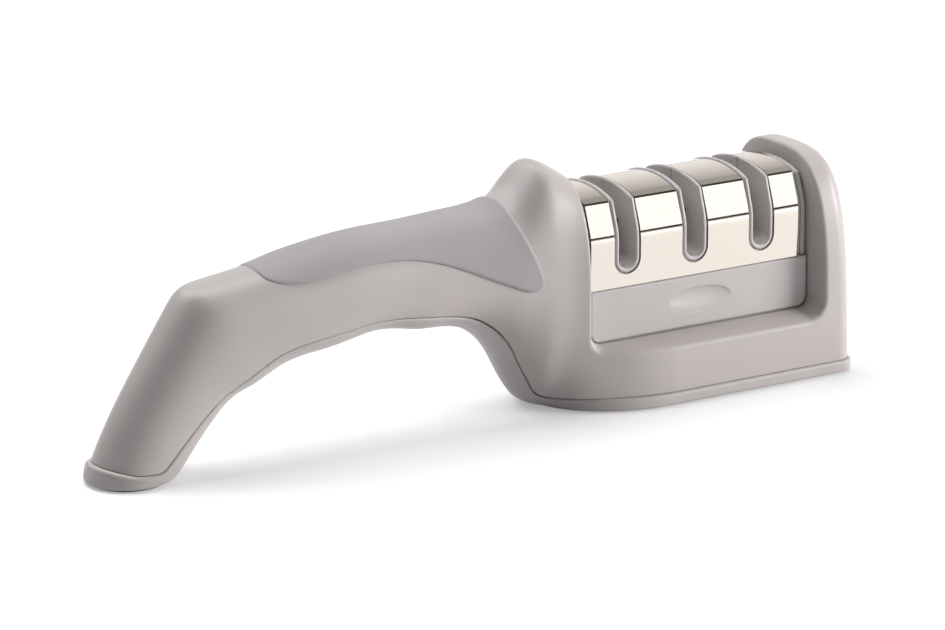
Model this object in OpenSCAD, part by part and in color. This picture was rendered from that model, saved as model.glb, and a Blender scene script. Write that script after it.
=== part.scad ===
// Pull through knife sharpener: an arched handle that ends in a foot, a base with a bay,
// and a lift-out sharpening head with three slots under a polished steel cover.
// X runs from the foot to the nose, Z is up, and the origin is on the ground under the middle.
// Everything is symmetric about the plane y = 0 unless a comment says otherwise.

/* [Housing] */
// Length of the handle, from the foot's rim to the crest of the horn
handle_l = 130; // [115:1:156]
// Height of the horn's crest above the ground
body_h = 66; // [60:1:79]
// Width over the rim of the base
body_w = 46; // [42:1:55]
// Distance from the horn's crest to the bay that holds the head
horn_l = 8.9; // [7.5:0.1:11]
// Length of the nose beyond the bay
nose_l = 11.6; // [10:0.1:14]
// Wall of the housing shells
wall = 2.2; // [1.8:0.1:2.6]
// Height of the rim round the base and the foot
rim_h = 3.8; // [3.4:0.1:4.6]
// How far the rim stands out from the shells
rim_proud = 0.5; // [0.3:0.1:0.8]
// Height of the floor of the head's pocket above the ground
pocket_h = 12; // [11:0.1:14.5]

/* [Grip inlay] */
// How far the soft inlay stands out from the handle
inlay_proud = 0.8; // [0.4:0.1:1.2]
// How deep the inlay is let into the handle
inlay_sunk = 0.9; // [0.6:0.1:1.1]

/* [Sharpening head] */
// Length of the head
head_l = 68.9; // [64:0.1:83]
// Depth of the head over its two panels
head_d = 30.8; // [28:0.1:34]
// Height of the head, from its floor to the crest of its cover
head_h = 45.25; // [42:0.05:55]
// Clearance between the head and the bay
head_gap = 0.3; // [0.2:0.05:0.5]
// Height of the two panels below the cover
panel_h = 20.3; // [17:0.1:22]
// Wall of the head's two case halves
case_t = 1.8; // [1.4:0.1:2.2]

/* [Slots] */
// Width of a knife slot
slot_w = 5.1; // [4.6:0.1:6]
// Distance between neighbouring slots
slot_pitch = 21.25; // [19.5:0.05:22]
// Distance from the head's handle end to the first slot
slot_x = 11.5; // [10:0.1:13]
// Height of a slot's round bottom above the head's floor
slot_z = 25.2; // [23.5:0.1:28]
// Wall of the guide round a slot
guide_t = 1.2; // [0.9:0.1:1.5]
// How far the guides stand out from the cover
guide_proud = 0.4; // [0.3:0.1:0.8]

/* [Steel cover] */
// Thickness of the steel sheet
cover_t = 0.6; // [0.4:0.1:0.8]
// Length of the cover
cover_l = 65.7; // [60:0.1:66]
// Gap between the cover and what it fits round
cover_gap = 0.15; // [0.1:0.05:0.3]

/* [Sharpening elements] */
// Radius of the diamond and ceramic rods
rod_r = 1.5; // [1.2:0.1:1.7]
// Length of a rod
rod_l = 18; // [16:0.5:20]
// Lean of each rod and blade from the vertical, in degrees
lean = 20; // [16:1:24]
// Height of the point where rods and blades cross, above the slot's bottom
cross_z = 1.7; // [1:0.1:3]
// Width of a carbide blade
blade_w = 5; // [4:0.1:6]
// Thickness of a carbide blade
blade_t = 1.6; // [1.2:0.1:2]
// Clearance round rods, blades and screws in their seats
seat_gap = 0.05; // [0.03:0.01:0.1]

/* [Screws and pads] */
// Radius of the shank of a housing screw
screw_r = 1.4; // [1.2:0.1:1.6]
// Radius of the head of a housing screw
screw_head_r = 2.7; // [2.4:0.1:3]
// Height of a screw's head
screw_head_h = 1.6; // [1.2:0.1:1.8]
// Width of a non-slip strip under the base
strip_w = 6; // [5:0.5:7]
// Thickness of the non-slip pads
pad_t = 1.5; // [1.2:0.1:1.6]
// How far the pads stand out below the housing
pad_proud = 0.5; // [0.3:0.1:0.8]

/* [Hidden] */

// Overrun of a cut past the face that it leaves by
over = 1;
// Points round a section of the housing, and sections between two stations
ring_points = 24;
ring_steps = 2;

// The sole of the shells lies just inside the rims
sole_z = pad_proud + seat_gap;

// Places along the object
body_l = handle_l + horn_l + head_l + 2 * head_gap + nose_l;
foot_x = -body_l / 2;
horn_x = foot_x + handle_l;
nose_x = body_l / 2;
bay_x = horn_x + horn_l;
head_x = bay_x + head_gap;
shell_half_w = body_w / 2 - rim_proud;

// The head's floor rests on the floor of its pocket
screw_seat_z = pad_proud + screw_head_h + wall;
head_z = pocket_h + seat_gap;
panel_z = head_z + panel_h;
crest_z = head_z + head_h;
cross_at_z = head_z + slot_z + cross_z;
slot_xs = [for (i = [0 : 2]) head_x + slot_x + i * slot_pitch];

// Stations of the handle, from the sole up the leg and along to the horn's crest. The columns are
// top x, top z, bottom x, bottom z, half width, half width of the flat bottom, height of the
// widest place, power of the upper curve, power of the lower curve, height of the seam.
// x is a share of the handle, z of the body's height, widths of the body's half width.
handle_shares = [
    [0.012, 0.008, 0.182, 0.008, 0.45, 0, 0.50, 2.0, 2.0, 0.24],
    [0.015, 0.064, 0.206, 0.055, 0.46, 0, 0.50, 2.0, 2.0, 0.25],
    [0.031, 0.136, 0.236, 0.130, 0.45, 0, 0.50, 2.0, 2.0, 0.25],
    [0.057, 0.241, 0.263, 0.190, 0.44, 0, 0.50, 2.0, 2.1, 0.24],
    [0.092, 0.353, 0.288, 0.243, 0.45, 0, 0.50, 2.0, 2.1, 0.22],
    [0.130, 0.465, 0.309, 0.275, 0.46, 0, 0.49, 2.1, 2.2, 0.20],
    [0.166, 0.568, 0.333, 0.292, 0.48, 0, 0.48, 2.2, 2.2, 0.18],
    [0.193, 0.648, 0.357, 0.309, 0.50, 0, 0.47, 2.2, 2.3, 0.18],
    [0.217, 0.705, 0.382, 0.335, 0.51, 0, 0.46, 2.3, 2.3, 0.18],
    [0.254, 0.724, 0.415, 0.370, 0.52, 0, 0.45, 2.3, 2.4, 0.19],
    [0.308, 0.736, 0.450, 0.388, 0.53, 0, 0.44, 2.3, 2.4, 0.20],
    [0.377, 0.756, 0.492, 0.397, 0.54, 0, 0.43, 2.3, 2.4, 0.21],
    [0.450, 0.782, 0.535, 0.408, 0.54, 0, 0.42, 2.3, 2.4, 0.20],
    [0.523, 0.803, 0.577, 0.426, 0.54, 0, 0.42, 2.3, 2.4, 0.18],
    [0.592, 0.817, 0.621, 0.439, 0.54, 0, 0.42, 2.3, 2.4, 0.16],
    [0.658, 0.821, 0.668, 0.429, 0.54, 0, 0.42, 2.3, 2.4, 0.17],
    [0.723, 0.824, 0.711, 0.409, 0.55, 0, 0.43, 2.3, 2.4, 0.18],
    [0.785, 0.832, 0.752, 0.403, 0.56, 0, 0.44, 2.3, 2.2, 0.16],
    [0.838, 0.836, 0.793, 0.395, 0.57, 0, 0.45, 2.3, 2.1, 0.14],
    [0.881, 0.843, 0.834, 0.373, 0.59, 0, 0.46, 2.3, 2.0, 0.12],
    [0.915, 0.860, 0.868, 0.329, 0.61, 0, 0.47, 2.3, 1.9, 0.11],
    [0.943, 0.889, 0.898, 0.267, 0.63, 0, 0.48, 2.3, 1.9, 0.11],
    [0.966, 0.941, 0.921, 0.195, 0.64, 0, 0.49, 2.4, 1.9, 0.10],
    [0.985, 0.982, 0.939, 0.120, 0.65, 0, 0.50, 2.4, 1.9, 0.09],
    [1.000, 1.000, 0.958, 0.064, 0.66, 0, 0.50, 2.5, 2.0, 0.08]
];

// Stations from the horn's crest to the full width of the base, with the same columns.
// Here x is counted from the crest, as a share of the horn's length.
bow_shares = [
    [0.31, 0.988, -0.36, 0.027, 0.67, 0.02, 0.50, 2.5, 2.2, 0.05],
    [0.63, 0.961, 0.03, 0.008, 0.68, 0.13, 0.50, 2.6, 2.2, 0.05],
    [0.94, 0.933, 0.51, 0.008, 0.71, 0.47, 0.50, 2.6, 2.3, 0.05],
    [1.30, 0.914, 1.06, 0.008, 0.77, 0.69, 0.46, 2.7, 2.5, 0.05],
    [1.93, 0.909, 1.90, 0.008, 0.88, 0.85, 0.36, 2.7, 2.5, 0.05],
    [2.70, 0.909, 2.70, 0.008, 0.96, 0.95, 0.24, 2.8, 2.5, 0.05],
    [3.50, 0.912, 3.50, 0.008, 0.99, 0.985, 0.14, 3.0, 2.5, 0.05]
];

// The nose: how far its end face leans back, and how its corners and its top round off
nose_lean_share = 0.22;
nose_round = 5;
nose_top_round = 7;
nose_top_share = 0.914;
nose_upper_power_share = 3.0;
nose_lower_power_share = 2.5;
nose_flat_share = 0.995;
nose_angles = [0, 18, 36, 54, 72, 90];

// The bow of the base in plan: its length, and the radius of the nose's corners
bow_x = horn_x;
bow_l_share = 1.3;
bow_l = bow_l_share * body_w / 2;
corner_r = 4.5;

// The rim of the foot in plan
foot_rim_l = 23.4;
foot_rim_w = 23;

// The bay's sill: its height at the panel and at the housing's side, its corner radii, and how
// far the bay widens outwards, at the nose and, as a share of that, at the handle
sill_rise = 6.9;
sill_fall = 2.4;
sill_in_z = head_z + sill_rise;
sill_out_z = sill_in_z - sill_fall;
sill_in_r = 3;
sill_out_r = 6;
sill_flare = 1.8;
handle_flare_share = 0.33;
sill_step = 0.2;

// Outline of the grip inlay seen from the side, as shares of the handle's length and the body's
// height, from the handle's top near the knee round to the top again under the horn
inlay_shares = [
    [0.358, 1.100], [0.358, 0.745], [0.367, 0.722], [0.392, 0.706], [0.442, 0.698], [0.494, 0.707],
    [0.544, 0.720], [0.594, 0.728], [0.644, 0.727], [0.694, 0.714], [0.745, 0.686], [0.789, 0.652],
    [0.837, 0.608], [0.884, 0.567], [0.922, 0.535], [0.944, 0.528], [0.960, 0.540], [0.965, 0.570],
    [0.954, 0.640], [0.939, 0.710], [0.925, 0.780], [0.915, 0.840], [0.908, 1.100]
];

// Profile of the head's cover: the shoulder, the bend into the roof and the roof's slope,
// as shares of the head's depth and of the cover's height
cover_shares = [
    [0.500, 0.01], [0.500, 0.50], [0.480, 0.65], [0.405, 0.870], [0.388, 0.902], [0.360, 0.920],
    [0.250, 0.962], [0.130, 0.990], [0, 1.00]
];
cover_d = head_d - cover_t;
end_rim_l = 1.5;
end_step = 1.1;

// Holders that carry the sharpening elements
holder_l = 14.6;
holder_d = 13.2;
holder_top = 10.8;
holder_foot = 13.2;
rod_pitch = 3.9;

// Screws that hold the head's floor to its case halves
head_screw_r = 1;
head_screw_head_r = 1.9;
head_screw_l = 10;
boss_t = 2;
boss_in = 0.5;
recess_w = 0.6;
recess_share = 0.6;

// Dimple in each panel
dimple_l = 19.5;
dimple_depth = 0.9;
dimple_r = 6.3;

// A point of a smooth curve through the middle two of four stations
function between(a, b, c, d, t) =
    (2 * b + (c - a) * t + (2 * a - 5 * b + 4 * c - d) * t * t
    + (3 * b - a - 3 * c + d) * t * t * t) / 2;

function shape_of(s) = [for (i = [6 : 9]) s[i]];
function widths_of(s) = [s[4] * shell_half_w, s[5] * shell_half_w];
function handle_station(s) = concat(
    [foot_x + s[0] * handle_l, s[1] * body_h, foot_x + s[2] * handle_l,
     max(s[3] * body_h, sole_z)], widths_of(s), shape_of(s));
function bow_station(s) = concat(
    [horn_x + s[0] * horn_l, s[1] * body_h, horn_x + s[2] * horn_l,
     max(s[3] * body_h, sole_z)], widths_of(s), shape_of(s));
function nose_station(a) =
    let (
        back = nose_round * (1 - sin(a)),
        inset = nose_round * (1 - cos(a)),
        w = shell_half_w - inset
    )
    [nose_x - rim_proud - back - nose_lean_share * nose_l,
     nose_top_share * body_h - nose_top_round * (1 - cos(a)),
     nose_x - rim_proud - back, sole_z, w, nose_flat_share * w, bow_shares[6][6],
     nose_upper_power_share, nose_lower_power_share, bow_shares[6][9]];

// The handle and the bow are one smooth run of stations, and the nose follows in straight steps
main_stations = concat(
    [for (s = handle_shares) handle_station(s)],
    [for (s = bow_shares) bow_station(s)]
);
last_main = len(main_stations) - 1;
stations = concat(
    [for (i = [0 : last_main - 1], k = [0 : ring_steps - 1])
        between(main_stations[max(i - 1, 0)], main_stations[i], main_stations[i + 1],
                main_stations[min(i + 2, last_main)], k / ring_steps)],
    [main_stations[last_main]],
    [for (a = nose_angles) nose_station(a)]
);

function power(v, p) = sign(v) * pow(abs(v), p);

// One section of the housing, drawn in by an inset
function ring(s, inset) =
    let (
        top = [s[0], s[1]],
        low = [s[2], s[3]],
        up = (top - low) / norm(top - low),
        rise = norm(top - low) - 2 * inset,
        start = low + inset * up,
        w = s[4] - inset,
        flat = max(s[5] - inset, 0)
    )
    [for (i = [0 : ring_points - 1])
        let (
            a = (i + 0.5) * 360 / ring_points,
            upper = sin(a) >= 0,
            p = 2 / (upper ? s[7] : s[8]),
            y = upper ? w * power(cos(a), p) : sign(cos(a)) * flat + (w - flat) * power(cos(a), p),
            h = upper
                ? rise * (s[6] + (1 - s[6]) * power(sin(a), p))
                : rise * s[6] * (1 + power(sin(a), p)),
            at = start + h * up
        )
        [at[0], y, at[1]]];

// A stretch of the housing's solid form, between two sections: a skin of triangles round the
// sections, closed by a fan at either end
function fan(start, flip) =
    [for (k = [1 : ring_points - 2])
        flip ? [start, start + k + 1, start + k] : [start, start + k, start + k + 1]];
module loft(inset, from = 0, to = len(stations) - 1) {
    n = ring_points;
    sections = to - from;
    polyhedron(
        [for (i = [from : to]) each ring(stations[i], inset)],
        concat(
            fan(0, false),
            [for (i = [0 : sections - 1], k = [0 : n - 1], half = [0, 1])
                let (
                    a = i * n + k,
                    b = i * n + (k + 1) % n,
                    c = a + n,
                    d = b + n
                )
                half == 0 ? [a, d, b] : [a, c, d]],
            fan(sections * n, true)
        )
    );
}

// The hollow inside the housing, which stops a wall above the sole and short of the nose
module cavity() {
    intersection() {
        loft(wall);
        translate([foot_x - over, -body_w, sole_z + wall + seat_gap])
            cube([body_l - nose_lean_share * nose_l - wall + over, 2 * body_w, 2 * body_h]);
    }
}

// Everything below the seam between the two shells, as a slab across the width. Its folds lie
// half way between the sections, and it ends level at the rims, or a drop below their top.
function seam_point(s) = [s[2], s[3]] + s[9] * [s[0] - s[2], s[1] - s[3]];
module below_seam(drop = 0) {
    low = rim_h - drop;
    rotate([90, 0, 0])
        linear_extrude(2 * body_w, center = true)
            polygon(concat(
                [[foot_x - body_w, low]],
                [for (i = [1 : len(stations) - 1])
                    let (p = (seam_point(stations[i - 1]) + seam_point(stations[i])) / 2)
                    [p[0], max(p[1], low)]],
                [[nose_x + body_w, low], [nose_x + body_w, -body_w], [foot_x - body_w, -body_w]]
            ));
}

// Plan outline of the base, drawn in by an inset
function base_outline(inset) = concat(
    [for (a = [90 : 10 : 270])
        [bow_x + bow_l + (bow_l - inset) * cos(a), (body_w / 2 - inset) * sin(a)]],
    [for (a = [-90 : 15 : 0])
        [nose_x - corner_r + (corner_r - inset) * cos(a),
         -body_w / 2 + corner_r + (corner_r - inset) * sin(a)]],
    [for (a = [0 : 15 : 90])
        [nose_x - corner_r + (corner_r - inset) * cos(a),
         body_w / 2 - corner_r + (corner_r - inset) * sin(a)]]
);
function foot_outline(inset) =
    [for (a = [0 : 10 : 350])
        [foot_x + foot_rim_l / 2 + (foot_rim_l / 2 - inset) * cos(a),
         (foot_rim_w / 2 - inset) * sin(a)]];

// A rim with its outer edge rounded, from an outline that is drawn in at top and bottom
rim_edge_share = 0.8;
rim_edge = rim_edge_share * rim_proud;
module rim(outer, inner) {
    hull() {
        translate([0, 0, pad_proud])
            linear_extrude(rim_h - pad_proud)
                polygon(inner);
        translate([0, 0, pad_proud + rim_edge])
            linear_extrude(rim_h - pad_proud - 2 * rim_edge)
                polygon(outer);
    }
}

screw_in = 10;
screw_y = 7;
screw_places = [
    for (x = [bay_x + screw_in, nose_x - nose_l - screw_in], side = [-1, 1]) [x, side * screw_y]
];
foot_screw_x = foot_x + foot_rim_l / 2;
foot_boss_h = 11;
pilot_gap = 0.3;

module lower_housing() {
    color([0.70, 0.67, 0.66])
        difference() {
            union() {
                difference() {
                    union() {
                        intersection() {
                            loft(0);
                            below_seam(seat_gap * 2);
                        }
                        rim(base_outline(0), base_outline(rim_edge));
                        rim(foot_outline(0), foot_outline(rim_edge));
                    }
                    cavity();
                }
                for (p = screw_places)
                    translate([p[0], p[1], pad_proud])
                        cylinder(h = screw_seat_z - pad_proud, r = screw_head_r + wall, $fn = 40);
                translate([foot_screw_x, 0, pad_proud])
                    cylinder(h = screw_seat_z - pad_proud, r = screw_head_r + wall, $fn = 40);
            }
            for (p = concat(screw_places, [[foot_screw_x, 0]]))
                translate([p[0], p[1], 0]) {
                    cylinder(h = pad_proud + screw_head_h, r = screw_head_r + pilot_gap, $fn = 40);
                    cylinder(h = screw_seat_z + over, r = screw_r + pilot_gap, $fn = 32);
                }
            for (side = [-1, 1])
                base_strip(side, strip_w / 2 + seat_gap * 2, pad_t + seat_gap);
            difference() {
                translate([foot_screw_x, 0, 0])
                    cylinder(h = pad_t + seat_gap, r = foot_pad_r + seat_gap * 2, $fn = 60);
                translate([foot_screw_x, 0, -over])
                    cylinder(h = pad_t + 2 * over, r = foot_pad_hole_r - seat_gap * 2, $fn = 40);
            }
        }
}

// The bay and the pocket below it, with a margin all round
function sill_outline(x0, x1, z0, r, margin) = concat(
    [[x0 - margin, body_h + 2 * over], [x0 - margin, z0 + r]],
    [for (a = [180 : 15 : 270]) [x0 + r + (r + margin) * cos(a), z0 + r + (r + margin) * sin(a)]],
    [for (a = [270 : 15 : 360]) [x1 - r + (r + margin) * cos(a), z0 + r + (r + margin) * sin(a)]],
    [[x1 + margin, body_h + 2 * over]]
);
bay_end_x = head_x + head_l + head_gap;
pocket_half_d = head_d / 2 + head_gap;
module side_slice(y, points) {
    translate([0, y, 0])
        rotate([90, 0, 0])
            linear_extrude(seat_gap)
                polygon(points);
}
module bay(margin) {
    translate([bay_x - margin, -pocket_half_d - margin, pocket_h - margin])
        cube([bay_end_x - bay_x + 2 * margin, 2 * (pocket_half_d + margin), body_h + over]);
    for (side = [-1, 1])
        hull() {
            side_slice(side * (pocket_half_d - over),
                sill_outline(bay_x + sill_step, bay_end_x - sill_step, sill_in_z, sill_in_r,
                    margin));
            side_slice(side * (body_w / 2 + over),
                sill_outline(bay_x - handle_flare_share * sill_flare, bay_end_x + sill_flare,
                    sill_out_z, sill_out_r, margin));
        }
}

module upper_housing() {
    color([0.74, 0.71, 0.70])
        difference() {
            union() {
                difference() {
                    loft(0);
                    below_seam();
                    difference() {
                        cavity();
                        bay(wall);
                    }
                }
                for (p = screw_places)
                    translate([p[0], p[1], screw_seat_z])
                        cylinder(h = pocket_h - screw_seat_z, r = screw_r + wall, $fn = 40);
                intersection() {
                    loft(wall / 2, 0, inlay_from);
                    translate([foot_screw_x, 0, screw_seat_z]) {
                        cylinder(h = foot_boss_h, r = screw_r + wall, $fn = 40);
                        translate([-foot_rim_l / 2, -wall / 2, 0])
                            cube([foot_rim_l, wall, foot_boss_h]);
                    }
                    translate([foot_x, -body_w / 2, screw_seat_z])
                        cube([foot_rim_l, body_w, foot_boss_h]);
                }
            }
            bay(0);
            for (p = screw_places)
                translate([p[0], p[1], screw_seat_z - over])
                    cylinder(h = pocket_h - screw_seat_z, r = screw_r + seat_gap, $fn = 32);
            translate([foot_screw_x, 0, screw_seat_z - over])
                cylinder(h = foot_boss_h, r = screw_r + seat_gap, $fn = 32);
            grip_inlay();
        }
}

// The inlay lies between two stations, at the knee and just past the horn's crest
knee_station = 8;
crest_station = 26;
inlay_from = knee_station * ring_steps;
inlay_to = crest_station * ring_steps;
module grip_inlay() {
    color([0.68, 0.67, 0.68])
        intersection() {
            difference() {
                loft(-inlay_proud, inlay_from, inlay_to);
                loft(inlay_sunk, inlay_from, inlay_to);
            }
            rotate([90, 0, 0])
                linear_extrude(2 * body_w, center = true)
                    polygon([for (p = inlay_shares) [foot_x + p[0] * handle_l, p[1] * body_h]]);
        }
}

// Non-slip strips and the foot's ring
strip_y = body_w / 2 - strip_w - wall;
strip_x = bow_x + bow_l;
strip_end_x = nose_x - nose_l;
foot_pad_r = foot_rim_l / 2 - wall;
foot_pad_hole_r = screw_head_r + wall;
module base_strip(side, half_w, height) {
    for (x = [strip_x, strip_end_x])
        translate([x, side * strip_y, 0])
            cylinder(h = height, r = half_w, $fn = 40);
    translate([strip_x, side * strip_y - half_w, 0])
        cube([strip_end_x - strip_x, 2 * half_w, height]);
}
module base_pads() {
    color([0.35, 0.34, 0.34])
        for (side = [-1, 1])
            base_strip(side, strip_w / 2, pad_t);
}
module foot_pad() {
    color([0.35, 0.34, 0.34])
        translate([foot_screw_x, 0, 0])
            difference() {
                cylinder(h = pad_t, r = foot_pad_r, $fn = 60);
                translate([0, 0, -over])
                    cylinder(h = pad_t + 2 * over, r = foot_pad_hole_r, $fn = 40);
            }
}

// A screw that points up, with its head's cross recess below
module screw(r, head_r, head_h, length) {
    difference() {
        union() {
            cylinder(h = head_h, r = head_r, $fn = 40);
            cylinder(h = length, r = r, $fn = 32);
        }
        for (a = [0, 90])
            rotate([0, 0, a])
                translate([-head_r * recess_share, -recess_w / 2, -over])
                    cube([2 * head_r * recess_share, recess_w, over + head_h / 2]);
    }
}
module base_screws() {
    color([0.75, 0.75, 0.77])
        for (p = screw_places)
            translate([p[0], p[1], pad_proud + seat_gap])
                screw(screw_r, screw_head_r, screw_head_h - seat_gap,
                      pocket_h - pad_proud - 2 * over);
}
module foot_screw() {
    color([0.75, 0.75, 0.77])
        translate([foot_screw_x, 0, pad_proud + seat_gap])
            screw(screw_r, screw_head_r, screw_head_h - seat_gap, screw_seat_z + foot_boss_h / 2);
}

// Section across the head under the cover, drawn out by a margin. It starts a drop below the
// cover's lower edge.
module head_section(margin, drop = 0) {
    places = [for (s = cover_shares) [s[0] * cover_d, panel_z + s[1] * (crest_z - panel_z)]];
    offset(delta = margin)
        polygon(concat(
            [[places[0][0], panel_z - drop]],
            places,
            [for (i = [len(places) - 2 : -1 : 0]) [-places[i][0], places[i][1]]],
            [[-places[0][0], panel_z - drop]]
        ));
}
module along_head(x0, length) {
    translate([x0, 0, 0])
        rotate([90, 0, 90])
            linear_extrude(length)
                children();
}

// The shape of a slot seen from the front, with a margin round it, through the whole depth
module slot_shape(x, margin) {
    r = slot_w / 2 + margin;
    z = head_z + slot_z + slot_w / 2;
    rotate([90, 0, 0])
        linear_extrude(2 * head_d, center = true)
            translate([x, z]) {
                circle(r = r, $fn = 48);
                translate([-r, 0])
                    square([2 * r, body_h]);
            }
}

// The case, whole: panels below, shell under the cover, end walls, guides and screw bosses
case_gap = cover_t + cover_gap;
module case_walls() {
    difference() {
        union() {
            along_head(head_x, head_l)
                head_section(-case_gap, 2 * case_gap + case_t);
            translate([head_x, -head_d / 2, head_z])
                cube([head_l, head_d, panel_h]);
        }
        along_head(head_x + case_t, head_l - 2 * case_t)
            head_section(-case_gap - case_t, 2 * (case_gap + case_t));
        translate([head_x + case_t, -head_d / 2 + case_t, head_z - over])
            cube([head_l - 2 * case_t, head_d - 2 * case_t, panel_h + over - case_t]);
        difference() {
            along_head(head_x + cover_l + cover_gap, head_l - cover_l - cover_gap - end_rim_l)
                head_section(over);
            along_head(head_x, head_l)
                head_section(-case_gap - end_step / 2, 2 * case_gap + end_step);
            translate([head_x, -head_d, head_z])
                cube([head_l, 2 * head_d, panel_h]);
        }
    }
}
module guides() {
    for (x = slot_xs)
        intersection() {
            slot_shape(x, guide_t);
            along_head(x - slot_w, 2 * slot_w)
                head_section(guide_proud);
        }
}
module bosses() {
    boss_r = head_screw_r + boss_t;
    for (p = head_screw_places)
        translate([p[0], p[1], head_z + case_t])
            cylinder(h = head_screw_l, r = boss_r, $fn = 40);
}
boss_y = head_d / 2 - case_t - head_screw_head_r - boss_in;
head_screw_places = [
    for (i = [0, 1], side = [-1, 1])
        [(slot_xs[i] + slot_xs[i + 1]) / 2, side * boss_y]
];
module dimple(side) {
    arc_r = (pow(dimple_l / 2, 2) + pow(dimple_depth, 2)) / (2 * dimple_depth);
    translate([head_x + head_l / 2,
               side * (head_d / 2 + dimple_r - dimple_depth),
               (sill_in_z + panel_z) / 2])
        rotate([0, 90, 0])
            rotate_extrude($fn = 96)
                intersection() {
                    translate([dimple_r - arc_r, 0])
                        circle(r = arc_r, $fn = 180);
                    translate([0, -dimple_l / 2])
                        square([dimple_r, dimple_l]);
                }
}
module case_half(side) {
    difference() {
        union() {
            case_walls();
            guides();
            bosses();
        }
        for (x = slot_xs) {
            slot_shape(x, 0);
            translate([x - holder_l / 2 - seat_gap, -holder_d / 2 - seat_gap, head_z - over])
                cube([holder_l + 2 * seat_gap, holder_d + 2 * seat_gap,
                      slot_z + holder_top + over + seat_gap]);
        }
        for (p = head_screw_places)
            translate([p[0], p[1], head_z])
                cylinder(h = head_screw_l, r = head_screw_r + seat_gap, $fn = 32);
        dimple(side);
        translate([head_x - over, side > 0 ? -2 * head_d : 0, head_z - over])
            cube([head_l + 2 * over, 2 * head_d, head_h + body_h]);
    }
}
module front_case() {
    color([0.73, 0.71, 0.71])
        case_half(-1);
}
module rear_case() {
    color([0.73, 0.71, 0.71])
        case_half(1);
}

module steel_cover() {
    color([0.86, 0.85, 0.83])
        difference() {
            along_head(head_x + cover_gap, cover_l)
                head_section(0);
            along_head(head_x - over, head_l + 2 * over)
                head_section(-cover_t, 2 * cover_t + over);
            translate([head_x - over, -head_d, panel_z - over])
                cube([head_l + 2 * over, 2 * head_d, over + cover_gap]);
            for (x = slot_xs)
                slot_shape(x, guide_t + cover_gap * 2);
        }
}

// The floor closes the head from below and carries the three holders on pedestals
module head_floor() {
    margin = case_t + seat_gap;
    color([0.66, 0.64, 0.64])
        difference() {
            union() {
                translate([head_x + margin, -head_d / 2 + margin, head_z])
                    cube([head_l - 2 * margin, head_d - 2 * margin, case_t - seat_gap]);
                for (x = slot_xs)
                    translate([x - holder_l / 2 + case_t, -holder_d / 2 + case_t, head_z])
                        cube([holder_l - 2 * case_t, holder_d - 2 * case_t, slot_z - holder_foot]);
            }
            for (p = head_screw_places)
                translate([p[0], p[1], head_z - over]) {
                    cylinder(h = over + case_t, r = head_screw_r + 2 * seat_gap, $fn = 32);
                    cylinder(h = over + case_t / 2, r = head_screw_head_r + 2 * seat_gap, $fn = 32);
                }
        }
}
module head_screws() {
    color([0.75, 0.75, 0.77])
        for (p = head_screw_places)
            translate([p[0], p[1], head_z + seat_gap])
                screw(head_screw_r, head_screw_head_r, case_t / 2 - seat_gap, head_screw_l - over);
}

// A holder's block, with the knife's slot cut through it
module holder_block(x) {
    difference() {
        translate([x - holder_l / 2, -holder_d / 2, head_z + slot_z - holder_foot])
            cube([holder_l, holder_d, holder_foot + holder_top]);
        slot_shape(x, 0);
    }
}
module leaning(x, y, way) {
    translate([x, y, cross_at_z])
        rotate([0, way * lean, 0])
            children();
}
module rod(x, y, way, r, length) {
    leaning(x, y, way)
        cylinder(h = length, r = r, center = true, $fn = 40);
}
module rod_holder(x) {
    difference() {
        holder_block(x);
        for (y = [-rod_pitch, 0, rod_pitch])
            rod(x, y, y == 0 ? -1 : 1, rod_r + seat_gap, rod_l + 2 * seat_gap);
    }
}
module outer_rods(x) {
    for (y = [-rod_pitch, rod_pitch])
        rod(x, y, 1, rod_r, rod_l);
}

module diamond_holder() {
    color([0.25, 0.25, 0.26])
        rod_holder(slot_xs[0]);
}
module diamond_rods_outer() {
    color([0.45, 0.44, 0.42])
        outer_rods(slot_xs[0]);
}
module diamond_rod_middle() {
    color([0.45, 0.44, 0.42])
        rod(slot_xs[0], 0, -1, rod_r, rod_l);
}
module ceramic_holder() {
    color([0.25, 0.25, 0.26])
        rod_holder(slot_xs[2]);
}
module ceramic_rods_outer() {
    color([0.93, 0.92, 0.88])
        outer_rods(slot_xs[2]);
}
module ceramic_rod_middle() {
    color([0.93, 0.92, 0.88])
        rod(slot_xs[2], 0, -1, rod_r, rod_l);
}

// Carbide stage: two crossed blades side by side, clamped by one screw where they cross
blade_y = blade_t / 2 + seat_gap / 2;
clamp_r = 1.1;
clamp_head_r = 2;
clamp_head_h = 1.4;
nut_r = 2.2;
nut_h = 1.6;
module blade_plate(side, w, t, length) {
    leaning(slot_xs[1], side * blade_y, side)
        cube([w, t, length], center = true);
}
module clamp_axis(y0) {
    translate([slot_xs[1], y0, cross_at_z])
        rotate([-90, 0, 0])
            children();
}
module carbide_blade(side) {
    difference() {
        blade_plate(side, blade_w, blade_t, rod_l);
        clamp_axis(-holder_d)
            cylinder(h = 2 * holder_d, r = clamp_r + seat_gap, $fn = 32);
    }
}
module carbide_blade_front() {
    color([0.52, 0.52, 0.54])
        carbide_blade(-1);
}
module carbide_blade_rear() {
    color([0.52, 0.52, 0.54])
        carbide_blade(1);
}
module carbide_holder() {
    color([0.25, 0.25, 0.26])
        difference() {
            holder_block(slot_xs[1]);
            for (side = [-1, 1])
                blade_plate(side, blade_w + 2 * seat_gap, blade_t + 2 * seat_gap,
                            rod_l + 2 * seat_gap);
            clamp_axis(-holder_d)
                cylinder(h = 2 * holder_d, r = clamp_r + seat_gap, $fn = 32);
            clamp_axis(-holder_d / 2 - over)
                cylinder(h = over + clamp_head_h, r = clamp_head_r + seat_gap, $fn = 32);
            clamp_axis(holder_d / 2 - nut_h)
                cylinder(h = nut_h + over, r = nut_r + seat_gap, $fn = 6);
        }
}
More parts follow.
